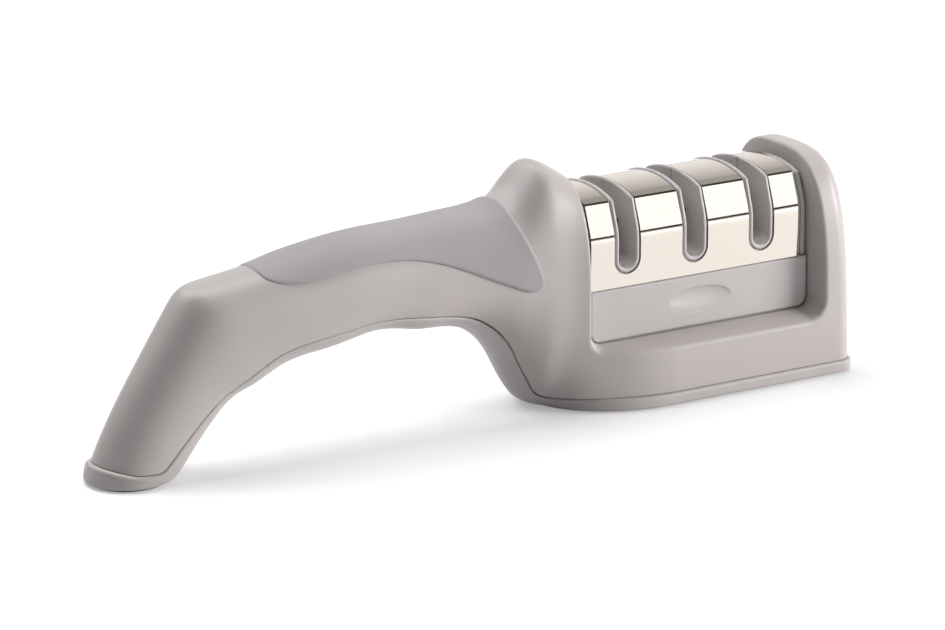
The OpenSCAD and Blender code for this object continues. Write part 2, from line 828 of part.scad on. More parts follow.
module carbide_screw() {
    color([0.75, 0.75, 0.77])
        clamp_axis(-holder_d / 2)
            screw(clamp_r, clamp_head_r, clamp_head_h, holder_d - seat_gap);
}
module carbide_nut() {
    color([0.70, 0.70, 0.72])
        clamp_axis(holder_d / 2 - nut_h + seat_gap)
            difference() {
                cylinder(h = nut_h - seat_gap, r = nut_r, $fn = 6);
                translate([0, 0, -over])
                    cylinder(h = nut_h + 2 * over, r = clamp_r + seat_gap / 2, $fn = 32);
            }
}

upper_housing();
lower_housing();
grip_inlay();
base_pads();
foot_pad();
base_screws();
foot_screw();
front_case();
rear_case();
steel_cover();
head_floor();
head_screws();
diamond_holder();
diamond_rods_outer();
diamond_rod_middle();
carbide_holder();
carbide_blade_front();
carbide_blade_rear();
carbide_screw();
carbide_nut();
ceramic_holder();
ceramic_rods_outer();
ceramic_rod_middle();
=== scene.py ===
import math

import bmesh
import bpy
import numpy as np
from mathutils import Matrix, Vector
from mathutils.bvhtree import BVHTree


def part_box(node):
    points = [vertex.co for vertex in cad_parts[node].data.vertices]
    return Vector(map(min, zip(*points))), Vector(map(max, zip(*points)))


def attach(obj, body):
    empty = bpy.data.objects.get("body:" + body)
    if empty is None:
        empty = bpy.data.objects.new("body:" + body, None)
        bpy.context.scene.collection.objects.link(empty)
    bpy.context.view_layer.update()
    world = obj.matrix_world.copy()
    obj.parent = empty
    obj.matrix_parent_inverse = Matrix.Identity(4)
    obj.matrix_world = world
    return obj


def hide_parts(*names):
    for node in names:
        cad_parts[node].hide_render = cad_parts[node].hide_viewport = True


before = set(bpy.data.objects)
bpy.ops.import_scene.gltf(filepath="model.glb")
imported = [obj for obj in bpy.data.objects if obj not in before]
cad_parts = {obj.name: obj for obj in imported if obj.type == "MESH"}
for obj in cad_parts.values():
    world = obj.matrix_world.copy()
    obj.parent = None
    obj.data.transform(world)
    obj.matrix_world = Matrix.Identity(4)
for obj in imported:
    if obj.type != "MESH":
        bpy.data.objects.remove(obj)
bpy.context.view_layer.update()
MM = 0.001


def box_mm(node):
    """A node's box in millimetres."""
    low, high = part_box(node)
    return np.array(low) / MM, np.array(high) / MM


# Driving sizes, from the frame
LOW_A, LOW_B = box_mm("lower_housing")
CASE_A, CASE_B = box_mm("front_case")
COVER_A, COVER_B = box_mm("steel_cover")
HOLD = [box_mm(n) for n in ("diamond_holder", "carbide_holder", "ceramic_holder")]

BODY_W = LOW_B[1] - LOW_A[1]
FOOT_X, NOSE_X = LOW_A[0], LOW_B[0]
SOLE_Z = LOW_A[2]
HEAD_X, HEAD_END = CASE_A[0], CASE_B[0]
HEAD_Z = CASE_A[2]
CREST_Z = COVER_B[2]
SLOTS = [(a[0] + b[0]) / 2 for a, b in HOLD]
HOLDER_TOP = HOLD[0][1][2]
HOLDER_HALF = (HOLD[0][1] - HOLD[0][0]) / 2

# Sizes that the frame's boxes don't give: the housing
HANDLE_L = 130.0
HORN_L = 8.9
NOSE_L = 11.6
BODY_H = 66.0
RIM_PROUD = 0.5
RIM_H = 3.8
HORN_X = FOOT_X + HANDLE_L
SHELL_W = BODY_W / 2 - RIM_PROUD
SEAM_GAP = 0.13
NOSE_LEAN = 0.15 * NOSE_L
NOSE_ROUND = 5.0
NOSE_TOP_ROUND = 7.0
NOSE_TOP = 0.914 * BODY_H
NOSE_POWER, NOSE_FLAT = 3.4, 0.995

# The bay
HEAD_GAP = 0.3
WELL_IN = 1.1
PANEL_R = 3.0
BAY_EDGE = 1.0
BAY_X0, BAY_X1 = HEAD_X - HEAD_GAP, HEAD_END + HEAD_GAP
SILL_IN, SILL_OUT = HEAD_Z + 6.45, HEAD_Z + 3.95

# The lower shell and the base
FOOT_R = 11.7
FOOT_CLIMB = 0.25
FOOT_BEAD = 1.1
STRIP_PROUD = 0.2
STRIP_EDGE, SOLE_EDGE = 1.2, 0.9
BASE_BOW = 1.3
BASE_R = 4.5
BASE_EDGE = 0.9
SCREW_HEAD_R, SCREW_HEAD_H, SCREW_ROOM = 2.7, 1.6, 0.3

# The grip inlay
INLAY_PROUD, INLAY_SUNK = 0.8, 0.9
INLAY_EDGE, INLAY_UNDER_EDGE = 1.3, 0.2
INLAY_GROW, INLAY_LEAST = 12, 0.4

# The head: panels, cover, slots and their guides
PANEL_H = 20.3
PANEL_Z = HEAD_Z + PANEL_H
PANEL_Y = 15.4
POCKET_Y = PANEL_Y + HEAD_GAP
COVER_Y = COVER_B[1]
COVER_T = 0.6
ROOF_R, ROOF_Y = 33.0, 9.6
BEND = (11.85, 55.05)
BEND_R, FLARE_Z, FLARE_R = 1.0, 46.6, 13
SKIRT_H = 8
SLOT_R = 2.55
SLOT_C = HEAD_Z + 25.2 + SLOT_R
GUIDE_T = 1.2
GUIDE_PROUD = 0.4
CUT_ROOM, CUT_REACH = 0.35, 30.0
DIMPLE_X, DIMPLE_Z = (HEAD_X + HEAD_END) / 2, 25.5
DIMPLE_HALF, DIMPLE_RISE, DIMPLE_DEPTH = 9.8, 3.4, 0.85
DIMPLE_TURN, DIMPLE_SKEW, DIMPLE_ENDS, DIMPLE_EDGE = 0.9, 1.7, 0.7, 0.25

# Stations along the handle, as in the CAD source: top x, top z, bottom x, bottom z, half width,
# half width of the flat bottom, height of the widest place, upper power, lower power, seam height
HANDLE = [
    [0.012, 0.008, 0.182, 0.008, 0.45, 0, 0.50, 2.0, 2.0, 0.40],
    [0.015, 0.064, 0.206, 0.055, 0.46, 0, 0.50, 2.0, 2.0, 0.38],
    [0.031, 0.136, 0.236, 0.130, 0.45, 0, 0.50, 2.0, 2.0, 0.34],
    [0.057, 0.241, 0.263, 0.190, 0.44, 0, 0.50, 2.0, 2.1, 0.28],
    [0.092, 0.353, 0.288, 0.243, 0.45, 0, 0.50, 2.0, 2.1, 0.235],
    [0.130, 0.465, 0.309, 0.275, 0.46, 0, 0.49, 2.1, 2.2, 0.20],
    [0.166, 0.568, 0.333, 0.292, 0.48, 0, 0.48, 2.2, 2.2, 0.18],
    [0.193, 0.648, 0.357, 0.309, 0.50, 0, 0.47, 2.2, 2.3, 0.18],
    [0.217, 0.705, 0.382, 0.335, 0.51, 0, 0.46, 2.3, 2.3, 0.18],
    [0.254, 0.724, 0.415, 0.370, 0.52, 0, 0.45, 2.3, 2.4, 0.19],
    [0.308, 0.736, 0.450, 0.388, 0.53, 0, 0.44, 2.3, 2.4, 0.20],
    [0.377, 0.756, 0.492, 0.397, 0.54, 0, 0.43, 2.3, 2.4, 0.21],
    [0.450, 0.782, 0.535, 0.408, 0.54, 0, 0.42, 2.3, 2.4, 0.20],
    [0.523, 0.803, 0.577, 0.426, 0.54, 0, 0.42, 2.3, 2.4, 0.18],
    [0.592, 0.817, 0.621, 0.439, 0.54, 0, 0.42, 2.3, 2.4, 0.16],
    [0.658, 0.821, 0.668, 0.429, 0.54, 0, 0.42, 2.3, 2.4, 0.17],
    [0.723, 0.824, 0.711, 0.409, 0.55, 0, 0.43, 2.3, 2.4, 0.18],
    [0.785, 0.832, 0.752, 0.403, 0.56, 0, 0.44, 2.3, 2.2, 0.16],
    [0.838, 0.836, 0.793, 0.395, 0.57, 0, 0.45, 2.3, 2.1, 0.14],
    [0.881, 0.843, 0.834, 0.373, 0.59, 0, 0.46, 2.3, 2.0, 0.12],
    [0.915, 0.860, 0.868, 0.329, 0.61, 0, 0.47, 2.3, 1.9, 0.11],
    [0.943, 0.889, 0.898, 0.267, 0.63, 0, 0.48, 2.3, 1.9, 0.11],
    [0.966, 0.941, 0.921, 0.195, 0.64, 0, 0.49, 2.4, 1.9, 0.10],
    [0.985, 0.982, 0.939, 0.120, 0.65, 0, 0.50, 2.4, 1.9, 0.09],
    [1.000, 1.000, 0.958, 0.064, 0.66, 0, 0.50, 2.5, 2.0, 0.08],
]
# Stations from the horn's crest on, with x as a share of the horn's length
BOW = [
    [0.31, 0.988, -0.36, 0.027, 0.67, 0.02, 0.50, 2.5, 2.2, 0.05],
    [0.63, 0.961, 0.03, 0.008, 0.68, 0.13, 0.50, 2.6, 2.2, 0.05],
    [0.94, 0.933, 0.51, 0.008, 0.71, 0.47, 0.50, 2.6, 2.3, 0.05],
    [1.30, 0.914, 1.06, 0.008, 0.77, 0.69, 0.46, 2.7, 2.5, 0.05],
    [1.93, 0.909, 1.90, 0.008, 0.88, 0.85, 0.36, 2.7, 2.5, 0.05],
    [2.70, 0.909, 2.70, 0.008, 0.96, 0.95, 0.24, 2.8, 2.5, 0.05],
    [3.50, 0.912, 3.50, 0.008, 0.99, 0.985, 0.14, 3.0, 2.5, 0.05],
]

# Outline of the inlay seen from the side, as shares of handle length and body height
INLAY = [
    [0.358, 1.100], [0.358, 0.745], [0.367, 0.722], [0.392, 0.706], [0.442, 0.698], [0.494, 0.707],
    [0.544, 0.720], [0.594, 0.728], [0.644, 0.727], [0.694, 0.714], [0.745, 0.686], [0.789, 0.652],
    [0.837, 0.608], [0.884, 0.567], [0.922, 0.535], [0.944, 0.528], [0.960, 0.540], [0.965, 0.570],
    [0.954, 0.640], [0.939, 0.710], [0.925, 0.780], [0.915, 0.840], [0.908, 1.100],
]


def catmull(rows, steps):
    """A smooth run through the rows, with this many steps between neighbours."""
    rows = np.asarray(rows, float)
    last = len(rows) - 1
    out = []
    for i in range(last):
        a, b, c, d = (rows[max(i - 1, 0)], rows[i], rows[i + 1], rows[min(i + 2, last)])
        for k in range(steps):
            t = k / steps
            out.append((2 * b + (c - a) * t + (2 * a - 5 * b + 4 * c - d) * t * t
                        + (3 * b - a - 3 * c + d) * t ** 3) / 2)
    out.append(rows[last])
    return np.array(out)


def softened(rows, width):
    """Rows averaged with their neighbours by a bell of this width; the ends stay."""
    reach = int(3 * width)
    weights = np.exp(-0.5 * (np.arange(-reach, reach + 1) / width) ** 2)
    weights /= weights.sum()
    first, last = rows[0], rows[-1]
    padded = np.concatenate([2 * first - rows[reach:0:-1], rows, 2 * last - rows[-2:-reach - 2:-1]])
    return np.stack([np.convolve(padded[:, c], weights, "valid") for c in range(rows.shape[1])], 1)


LEAST = 0.05
LEAST_Z = SOLE_Z + LEAST


def main_stations():
    """The table's rows in millimetres."""
    rows = []
    for table, start, length in ((HANDLE, FOOT_X, HANDLE_L), (BOW, HORN_X, HORN_L)):
        for s in table:
            rows.append([start + s[0] * length, s[1] * BODY_H, start + s[2] * length,
                         max(s[3] * BODY_H, LEAST_Z), s[4] * SHELL_W, s[5] * SHELL_W, *s[6:]])
    return rows


def nose_stations(angles):
    """Sections that close the nose with a rounded end, by the angle round its corner."""
    rows = []
    for a in np.radians(angles):
        back = NOSE_ROUND * (1 - math.sin(a))
        w = SHELL_W - NOSE_ROUND * (1 - math.cos(a))
        end = NOSE_X - RIM_PROUD - back
        rows.append([end - NOSE_LEAN, NOSE_TOP - NOSE_TOP_ROUND * (1 - math.cos(a)), end,
                     LEAST_Z, w, NOSE_FLAT * w, BOW[-1][6], NOSE_POWER, BOW[-1][8],
                     BOW[-1][9]])
    return rows


STEPS = 10
SOFTEN_SHARE = 0.45
run = softened(catmull(main_stations(), STEPS), STEPS * SOFTEN_SHARE)
nose = np.array(nose_stations(np.linspace(0, 90, 13)))
between = np.linspace(0, 1, 30)[1:-1, None]
STATIONS = np.concatenate([run, run[-1] + between * (nose[0] - run[-1]), nose])


def section(s, count):
    """Points round one section of the housing, anticlockwise seen from the nose."""
    top, low = np.array([s[0], s[1]]), np.array([s[2], s[3]])
    rise = np.linalg.norm(top - low)
    up = (top - low) / rise
    w, flat, widest, upper_power, lower_power = s[4:9]
    a = (np.arange(count) + 0.5) * 2 * math.pi / count
    upper = np.sin(a) >= 0
    p = np.where(upper, 2 / upper_power, 2 / lower_power)
    ca, sa = np.abs(np.cos(a)) ** p, np.abs(np.sin(a)) ** p
    y = np.sign(np.cos(a)) * np.where(upper, w * ca, flat + (w - flat) * ca)
    h = rise * np.where(upper, widest + (1 - widest) * sa, widest * (1 - sa))
    at = low[None] + h[:, None] * up[None]
    return np.stack([at[:, 0], y, at[:, 1]], 1)


def rings_mesh(rings):
    """Vertices and quads of rings of equal count, with a fan on either end."""
    rings = [np.asarray(r, float) for r in rings]
    n = len(rings[0])
    verts = np.concatenate(rings)
    faces = []
    for i in range(len(rings) - 1):
        for k in range(n):
            a, b = i * n + k, i * n + (k + 1) % n
            faces.append([a, b, b + n, a + n])
    first, last = len(verts), len(verts) + 1
    verts = np.concatenate([verts, [rings[0].mean(0)], [rings[-1].mean(0)]])
    base = (len(rings) - 1) * n
    for k in range(n):
        faces.append([first, (k + 1) % n, k])
        faces.append([last, base + k, base + (k + 1) % n])
    return verts, faces


def add_object(name, data):
    """A new object in the scene."""
    obj = bpy.data.objects.new(name, data)
    bpy.context.scene.collection.objects.link(obj)
    return obj


def make_object(name, verts, faces, normals=None):
    """An object from points in millimetres. Given normals are the vertices' own."""
    mesh = bpy.data.meshes.new(name)
    faces = faces.tolist() if isinstance(faces, np.ndarray) else [list(map(int, f)) for f in faces]
    mesh.from_pydata((np.asarray(verts) * MM).tolist(), [], faces)
    mesh.validate()
    mesh.update()
    mesh.polygons.foreach_set("use_smooth", [True] * len(mesh.polygons))
    if normals is not None:
        mesh.normals_split_custom_set_from_vertices(np.asarray(normals).tolist())
    return add_object(name, mesh)


def outward(obj):
    """Turns the faces outwards."""
    bm = bmesh.new()
    bm.from_mesh(obj.data)
    bmesh.ops.recalc_face_normals(bm, faces=bm.faces)
    bm.to_mesh(obj.data)
    bm.free()


def cut(obj, tool):
    """Takes the tool's body out of the object's mesh, and removes the tool."""
    mod = obj.modifiers.new("cut", "BOOLEAN")
    mod.operation, mod.solver, mod.object = "DIFFERENCE", "MANIFOLD", tool
    graph = bpy.context.evaluated_depsgraph_get()
    mesh = bpy.data.meshes.new_from_object(obj.evaluated_get(graph))
    old = obj.data
    obj.modifiers.clear()
    obj.data = mesh
    mesh.name = obj.name
    bpy.data.meshes.remove(old)
    bpy.data.objects.remove(tool)


def points_of(obj):
    """The mesh's points in millimetres."""
    co = np.empty(len(obj.data.vertices) * 3)
    obj.data.vertices.foreach_get("co", co)
    return co.reshape(-1, 3) / MM


# How far a face's normal may lie from its points' before it is a cut face, as a cosine
CUT_LIMIT, COVER_LIMIT = 0.75, 0.9


def set_normals(obj, normals, limit=CUT_LIMIT):
    """Gives each corner the normal of its point, or on a cut face, which lies askew, its face's."""
    normals = normals / np.linalg.norm(normals, axis=1, keepdims=True)
    mesh = obj.data
    mesh.polygons.foreach_set("use_smooth", [True] * len(mesh.polygons))
    vert = np.empty(len(mesh.loops), int)
    mesh.loops.foreach_get("vertex_index", vert)
    total = np.empty(len(mesh.polygons), int)
    mesh.polygons.foreach_get("loop_total", total)
    face_n = np.empty(len(mesh.polygons) * 3)
    mesh.polygons.foreach_get("normal", face_n)
    face_n = np.repeat(face_n.reshape(-1, 3), total, axis=0)
    smooth = normals[vert]
    flat = (smooth * face_n).sum(1) < limit
    smooth[flat] = face_n[flat]
    mesh.normals_split_custom_set(smooth.tolist())


class Skin:
    """The housing's outer form: signed distance and smooth normal at any point."""

    def __init__(self, rings):
        verts, faces = rings_mesh(rings)
        tris = []
        for f in faces:
            tris.append([f[0], f[1], f[2]])
            if len(f) == 4:
                tris.append([f[0], f[2], f[3]])
        self.v, self.t = verts, np.array(tris)
        a, b, c = (self.v[self.t[:, i]] for i in range(3))
        n = np.cross(b - a, c - a)
        if (a * n).sum() < 0:
            self.t = self.t[:, ::-1]
            n = -n
            a, c = c, a
        vn = np.zeros_like(self.v)
        for i in range(3):
            np.add.at(vn, self.t[:, i], n)
        self.vn = vn / np.linalg.norm(vn, axis=1, keepdims=True)
        self.fn = n / (np.linalg.norm(n, axis=1, keepdims=True) + 1e-12)
        self.tree = BVHTree.FromPolygons(self.v.tolist(), self.t.tolist(), all_triangles=True)

    def __call__(self, p):
        find = self.tree.find_nearest
        near = np.empty((len(p), 3))
        index = np.empty(len(p), int)
        for i, q in enumerate(p.tolist()):
            hit = find(q)
            near[i], index[i] = hit[0], hit[2]
        tri = self.t[index]
        a, b, c = (self.v[tri[:, i]] for i in range(3))
        v0, v1, v2 = b - a, c - a, near - a
        d00, d01, d11 = (v0 * v0).sum(1), (v0 * v1).sum(1), (v1 * v1).sum(1)
        d20, d21 = (v2 * v0).sum(1), (v2 * v1).sum(1)
        den = d00 * d11 - d01 * d01 + 1e-12
        v, w = (d11 * d20 - d01 * d21) / den, (d00 * d21 - d01 * d20) / den
        n = (self.vn[tri[:, 0]] * (1 - v - w)[:, None] + self.vn[tri[:, 1]] * v[:, None]
             + self.vn[tri[:, 2]] * w[:, None])
        n /= np.linalg.norm(n, axis=1, keepdims=True)
        off = p - near
        sign = np.where((off * n).sum(1) >= 0, 1.0, -1.0)
        return sign * np.linalg.norm(off, axis=1), n


# Over what distance a table's slope is measured
TABLE_SLOPE = 0.3


def analytic(function):
    """A field with its slope, from a plain distance function."""
    def field(p, e=0.02):
        f = function(p)
        g = np.empty_like(p)
        for i in range(3):
            q = p.copy()
            q[:, i] += e
            g[:, i] = function(q)
            q[:, i] -= 2 * e
            g[:, i] = (g[:, i] - function(q)) / (2 * e)
        return f, g
    return field


def blend_max(a, b, k):
    """The larger of two fields, rounded over a width k where they are alike."""
    (fa, ga), (fb, gb) = a, b
    h = np.clip(0.5 + 0.5 * (fa - fb) / k, 0, 1)
    return fb + (fa - fb) * h + k * h * (1 - h), gb + (ga - gb) * h[:, None]


def smax(a, b, k):
    """The larger of two plain values, rounded over a width k."""
    h = np.clip(0.5 + 0.5 * (a - b) / k, 0, 1)
    return b + (a - b) * h + k * h * (1 - h)


# A net's coarse blocks in steps, how near the surface a block counts (as a share of its size),
# and in steps how far a point moves in one round and in all
BLOCK, NEAR_SHARE = 4, 1.15
MOVE_STEPS, REACH_STEPS, ROUNDS = 0.7, 1.6, 3


def refined(blocks):
    """Block values spread over the fine grid's points."""
    for axis in range(3):
        blocks = np.repeat(blocks, BLOCK, axis)
    return np.pad(blocks, 1, "edge")[1:, 1:, 1:]


def net(field, low, high, step):
    """A closed quad mesh on a field's zero surface, its points moved exactly onto it."""
    low = np.asarray(low, float)
    big = BLOCK * step
    blocks = np.ceil((np.asarray(high) - low) / big).astype(int)
    at = [low[i] + (np.arange(blocks[i]) + 0.5) * big for i in range(3)]
    grid = np.stack(np.meshgrid(*at, indexing="ij"), -1).reshape(-1, 3)
    coarse = field(grid)[0].reshape(blocks)
    n = blocks * BLOCK + 1
    values = refined(coarse)
    fine = refined(np.abs(coarse) < big * NEAR_SHARE)
    grown = fine.copy()
    for axis in range(3):
        grown |= np.roll(fine, 1, axis) | np.roll(fine, -1, axis)
    where = np.argwhere(grown)
    values[tuple(where.T)] = field(low + where * step)[0]
    edge = np.ones(n, bool)
    edge[1:-1, 1:-1, 1:-1] = False
    values[edge] = np.abs(values[edge]) + 1e-3
    inside = values < 0
    corner = [(i, j, k) for i in (0, 1) for j in (0, 1) for k in (0, 1)]
    count = sum(inside[i:n[0] - 1 + i, j:n[1] - 1 + j, k:n[2] - 1 + k].astype(int)
                for i, j, k in corner)
    cells = np.argwhere((count > 0) & (count < 8))
    number = np.full(n - 1, -1)
    number[tuple(cells.T)] = np.arange(len(cells))
    vals = {c: values[tuple((cells + c).T)] for c in corner}
    total, hits = np.zeros((len(cells), 3)), np.zeros(len(cells))
    for c in corner:
        for axis in range(3):
            if c[axis] == 0:
                d = list(c)
                d[axis] = 1
                va, vb = vals[c], vals[tuple(d)]
                crossed = (va < 0) != (vb < 0)
                t = np.where(crossed, va / np.where(crossed, va - vb, 1), 0)
                spot = np.tile(np.array(c, float), (len(cells), 1))
                spot[:, axis] = t
                total += np.where(crossed[:, None], spot, 0)
                hits += crossed
    points = low + (cells + total / hits[:, None]) * step
    faces = []
    for axis in range(3):
        u, v = (axis + 1) % 3, (axis + 2) % 3
        a, b = [slice(None)] * 3, [slice(None)] * 3
        a[axis], b[axis] = slice(0, -1), slice(1, None)
        sa, sb = inside[tuple(a)], inside[tuple(b)]
        spots = np.argwhere(sa != sb)
        spots = spots[(spots[:, u] > 0) & (spots[:, v] > 0)]
        out = sa[tuple(spots.T)]
        quad = []
        for du, dv in ((-1, -1), (0, -1), (0, 0), (-1, 0)):
            q = spots.copy()
            q[:, u] += du
            q[:, v] += dv
            quad.append(number[tuple(q.T)])
        quad = np.stack(quad, 1)
        quad[~out] = quad[~out][:, ::-1]
        faces.append(quad)
    faces = np.concatenate(faces)
    start = points.copy()
    for _ in range(ROUNDS):
        f, g = field(points)
        move = -f[:, None] * g / np.maximum((g * g).sum(1), 0.25)[:, None]
        points = points + np.clip(move, -MOVE_STEPS * step, MOVE_STEPS * step)
    reach = np.linalg.norm(points - start, axis=1)
    points = np.where((reach > REACH_STEPS * step)[:, None], start, points)
    g = field(points)[1]
    return points, faces, g / np.maximum(np.linalg.norm(g, axis=1, keepdims=True), 1e-9)


def polygon_distance(points, outline):
    """Signed distance in the plane to a closed outline, negative inside."""
    best = np.full(len(points), 1e9)
    inside = np.zeros(len(points), bool)
    b = outline
    a = np.roll(outline, 1, axis=0)
    for (ax, az), (bx, bz) in zip(a, b):
        ex, ez = bx - ax, bz - az
        wx, wz = points[:, 0] - ax, points[:, 1] - az
        t = np.clip((wx * ex + wz * ez) / (ex * ex + ez * ez + 1e-12), 0, 1)
        best = np.minimum(best, (wx - t * ex) ** 2 + (wz - t * ez) ** 2)
        crosses = (az > points[:, 1]) != (bz > points[:, 1])
        side = (bx - ax) * (points[:, 1] - az) / (bz - az if bz != az else 1e-12) + ax
        inside ^= crosses & (points[:, 0] < side)
    return np.where(inside, -1, 1) * np.sqrt(best)


class Table2D:
    """A plane field kept on a fine grid."""

    def __init__(self, function, low, high, step):
        self.low, self.step = np.array(low, float), step
        self.n = np.ceil((np.array(high) - low) / step).astype(int) + 1
        gx, gz = np.meshgrid(*(self.low[i] + np.arange(self.n[i]) * step for i in (0, 1)),
                             indexing="ij")
        self.v = function(np.stack([gx.ravel(), gz.ravel()], 1)).reshape(self.n)

    def __call__(self, x, z):
        u = np.clip((x - self.low[0]) / self.step, 0, self.n[0] - 1.001)
        w = np.clip((z - self.low[1]) / self.step, 0, self.n[1] - 1.001)
        i, j = u.astype(int), w.astype(int)
        a, b = u - i, w - j
        v = self.v
        return (v[i, j] * (1 - a) * (1 - b) + v[i + 1, j] * a * (1 - b)
                + v[i, j + 1] * (1 - a) * b + v[i + 1, j + 1] * a * b)


def fillet(points, radii):
    """A polyline with each inner corner rounded."""
    pts = [np.array(p, float) for p in points]
    out = [pts[0]]
    for i in range(1, len(pts) - 1):
        a, b, c, r = pts[i - 1], pts[i], pts[i + 1], radii[i - 1]
        u, v = (a - b) / np.linalg.norm(a - b), (c - b) / np.linalg.norm(c - b)
        if r <= 0:
            out.append(b)
            continue
        half = math.acos(np.clip(u @ v, -1, 1)) / 2
        t = r / math.tan(half)
        centre = b + (u + v) / np.linalg.norm(u + v) * r / math.sin(half)
        start, end = b + u * t - centre, b + v * t - centre
        a0, a1 = math.atan2(start[1], start[0]), math.atan2(end[1], end[0])
        turn = (a1 - a0 + math.pi) % (2 * math.pi) - math.pi
        for s in np.linspace(0, 1, 14):
            out.append(centre + r * np.array([math.cos(a0 + turn * s), math.sin(a0 + turn * s)]))
    out.append(pts[-1])
    return np.array(out)


# ---------------------------------------------------------------- housing
NET_ROOM = 3
RING = 160
rings = [section(s, RING) for s in STATIONS]
# The leg runs on below the sole, so that the sole is a plain cut through it
BELOW_SOLE = 3
fall = rings[0] - rings[1]
skin = Skin([rings[0] + fall * BELOW_SOLE / abs(fall[:, 2].mean())] + rings)


def width_at(s, z):
    """Where a section reaches a height: its x there, and its half width."""
    top_x, top_z, low_x, low_z, w, flat, widest, upper_power, lower_power = s[:9]
    h = np.clip((z - low_z) / (top_z - low_z), 0, 1)
    if h < widest:
        half = flat + (w - flat) * (1 - (1 - h / widest) ** lower_power) ** (1 / lower_power)
    else:
        half = w * (1 - ((h - widest) / (1 - widest)) ** upper_power) ** (1 / upper_power)
    return low_x + h * (top_x - low_x), half


plan_x, plan_y = np.array([width_at(s, SILL_OUT) for s in STATIONS]).T


def rounded(dx, dz, r):
    """Distance to a corner rounded to r, from the distances to its two sides."""
    dx, dz = dx + r, dz + r
    return np.hypot(np.maximum(dx, 0), np.maximum(dz, 0)) + np.minimum(np.maximum(dx, dz), 0) - r


# Outside the head the bay widens: by how much at either end and at its corners, over what depth
FLARE_HORN, FLARE_NOSE, FLARE_CORNER, FLARE_OVER = 0.4, 1.2, 2.4, 7
LEAST_SILL = 0.8


def bay(p):
    """The bay: the head's outline, opening out at the sides, and a narrower well below it."""
    x, y, z = p[:, 0], np.abs(p[:, 1]), p[:, 2]
    edge = np.interp(x, plan_x, plan_y)
    t = np.clip((y - POCKET_Y) / np.maximum(edge - POCKET_Y, LEAST_SILL), 0, 1.5)
    s = np.clip((y - POCKET_Y) / FLARE_OVER, 0, 1.2)
    floor = SILL_IN - HEAD_GAP - (SILL_IN - SILL_OUT - HEAD_GAP) * t
    ends = np.maximum(BAY_X0 - FLARE_HORN * s - x, x - BAY_X1 - FLARE_NOSE * s)
    opening = rounded(ends, floor - z, PANEL_R + HEAD_GAP + FLARE_CORNER * s)
    well = np.maximum(np.maximum(BAY_X0 + WELL_IN - x, x - BAY_X1 + WELL_IN),
                      np.maximum(y - POCKET_Y + WELL_IN, HEAD_Z - LEAST - z))
    return np.minimum(opening, well)


bay_field = analytic(lambda p: -bay(p))


def upper_field(p):
    """The housing's form with the bay taken out of it."""
    return blend_max(skin(p), bay_field(p), BAY_EDGE)


# The seam: least step between its points, height of its bend over the rim, where it starts to
# climb round the foot, and the radii of its two turns there
OUTSIDE = 20
SEAM_STEP, SEAM_BEND, FOOT_LEVEL, FOOT_TURN, LEG_TURN = 0.15, 7, 2, 12, 4


def seam_line():
    """The seam seen from the side: round the foot, up the leg, along the handle, down the bow."""
    s = STATIONS
    line = np.stack([s[:, 2] + s[:, 9] * (s[:, 0] - s[:, 2]),
                     np.maximum(s[:, 3] + s[:, 9] * (s[:, 1] - s[:, 3]), RIM_H)], 1)
    keep = [0]
    for i in range(1, len(line)):
        if line[i, 0] > line[keep[-1], 0] + SEAM_STEP:
            keep.append(i)
    line = line[keep]
    first = int(np.argmax(line[:, 1] > RIM_H + SEAM_BEND))
    a, b = line[first], line[first + 2]
    corner = a + (b - a) * (RIM_H - a[1]) / (b[1] - a[1])
    heel, level = FOOT_X - OUTSIDE, FOOT_X + FOOT_R - FOOT_LEVEL
    foot = fillet([(heel, RIM_H + FOOT_CLIMB * (level - heel)), (level, RIM_H), corner, a],
                  [FOOT_TURN, LEG_TURN])
    return np.concatenate([foot, line[first + 1:], [[NOSE_X + OUTSIDE, RIM_H]]])


def below_outline(lift):
    """Everything below the seam, as a closed outline, raised by a lift."""
    return np.concatenate([seam_line() + [0, lift],
                           [[NOSE_X + OUTSIDE, -OUTSIDE], [FOOT_X - OUTSIDE, -OUTSIDE]]])


def prism(outline, reach):
    """A cutting tool: an outline seen from the side, drawn out to a reach on either side."""
    n = len(outline)
    front = np.stack([outline[:, 0], np.full(n, -reach), outline[:, 1]], 1)
    back = front + [0, 2 * reach, 0]
    faces = [list(range(n)), list(range(2 * n - 1, n - 1, -1))]
    faces += [[k, k + n, (k + 1) % n + n, (k + 1) % n] for k in range(n)]
    obj = make_object("tool", np.concatenate([front, back]), faces)
    outward(obj)
    return obj


def build_upper():
    """The upper shell, down to the seam."""
    step = 0.55
    low = [FOOT_X - NET_ROOM, -SHELL_W - NET_ROOM, -NET_ROOM]
    high = [NOSE_X + NET_ROOM, SHELL_W + NET_ROOM, BODY_H + NET_ROOM]
    points, faces, _ = net(upper_field, low, high, step)
    obj = make_object("shell_upper", points, faces)
    cut(obj, prism(below_outline(SEAM_GAP), BODY_W))
    set_normals(obj, upper_field(points_of(obj))[1])
    return obj


# How far the lower shell reaches along the body and upwards, with some room
LOWER_X, LOWER_Z = HORN_X + 14, 36
TABLE_ROOM, TABLE_STEP = 4, 0.25
below_table = Table2D(lambda q: polygon_distance(q, below_outline(0)),
                      [FOOT_X - TABLE_ROOM, -TABLE_ROOM],
                      [LOWER_X + TABLE_ROOM, LOWER_Z + TABLE_ROOM], TABLE_STEP)
seam_edge = analytic(lambda p: below_table(p[:, 0], p[:, 2]))
# The foot's bead fades out over a stretch of the leg's length and of its height
BEAD_X, BEAD_X_FADE = FOOT_X + 19, 9
BEAD_Z, BEAD_Z_FADE = 12, 6


def smoothstep(t):
    """A soft rise from 0 to 1."""
    return t * t * (3 - 2 * t)


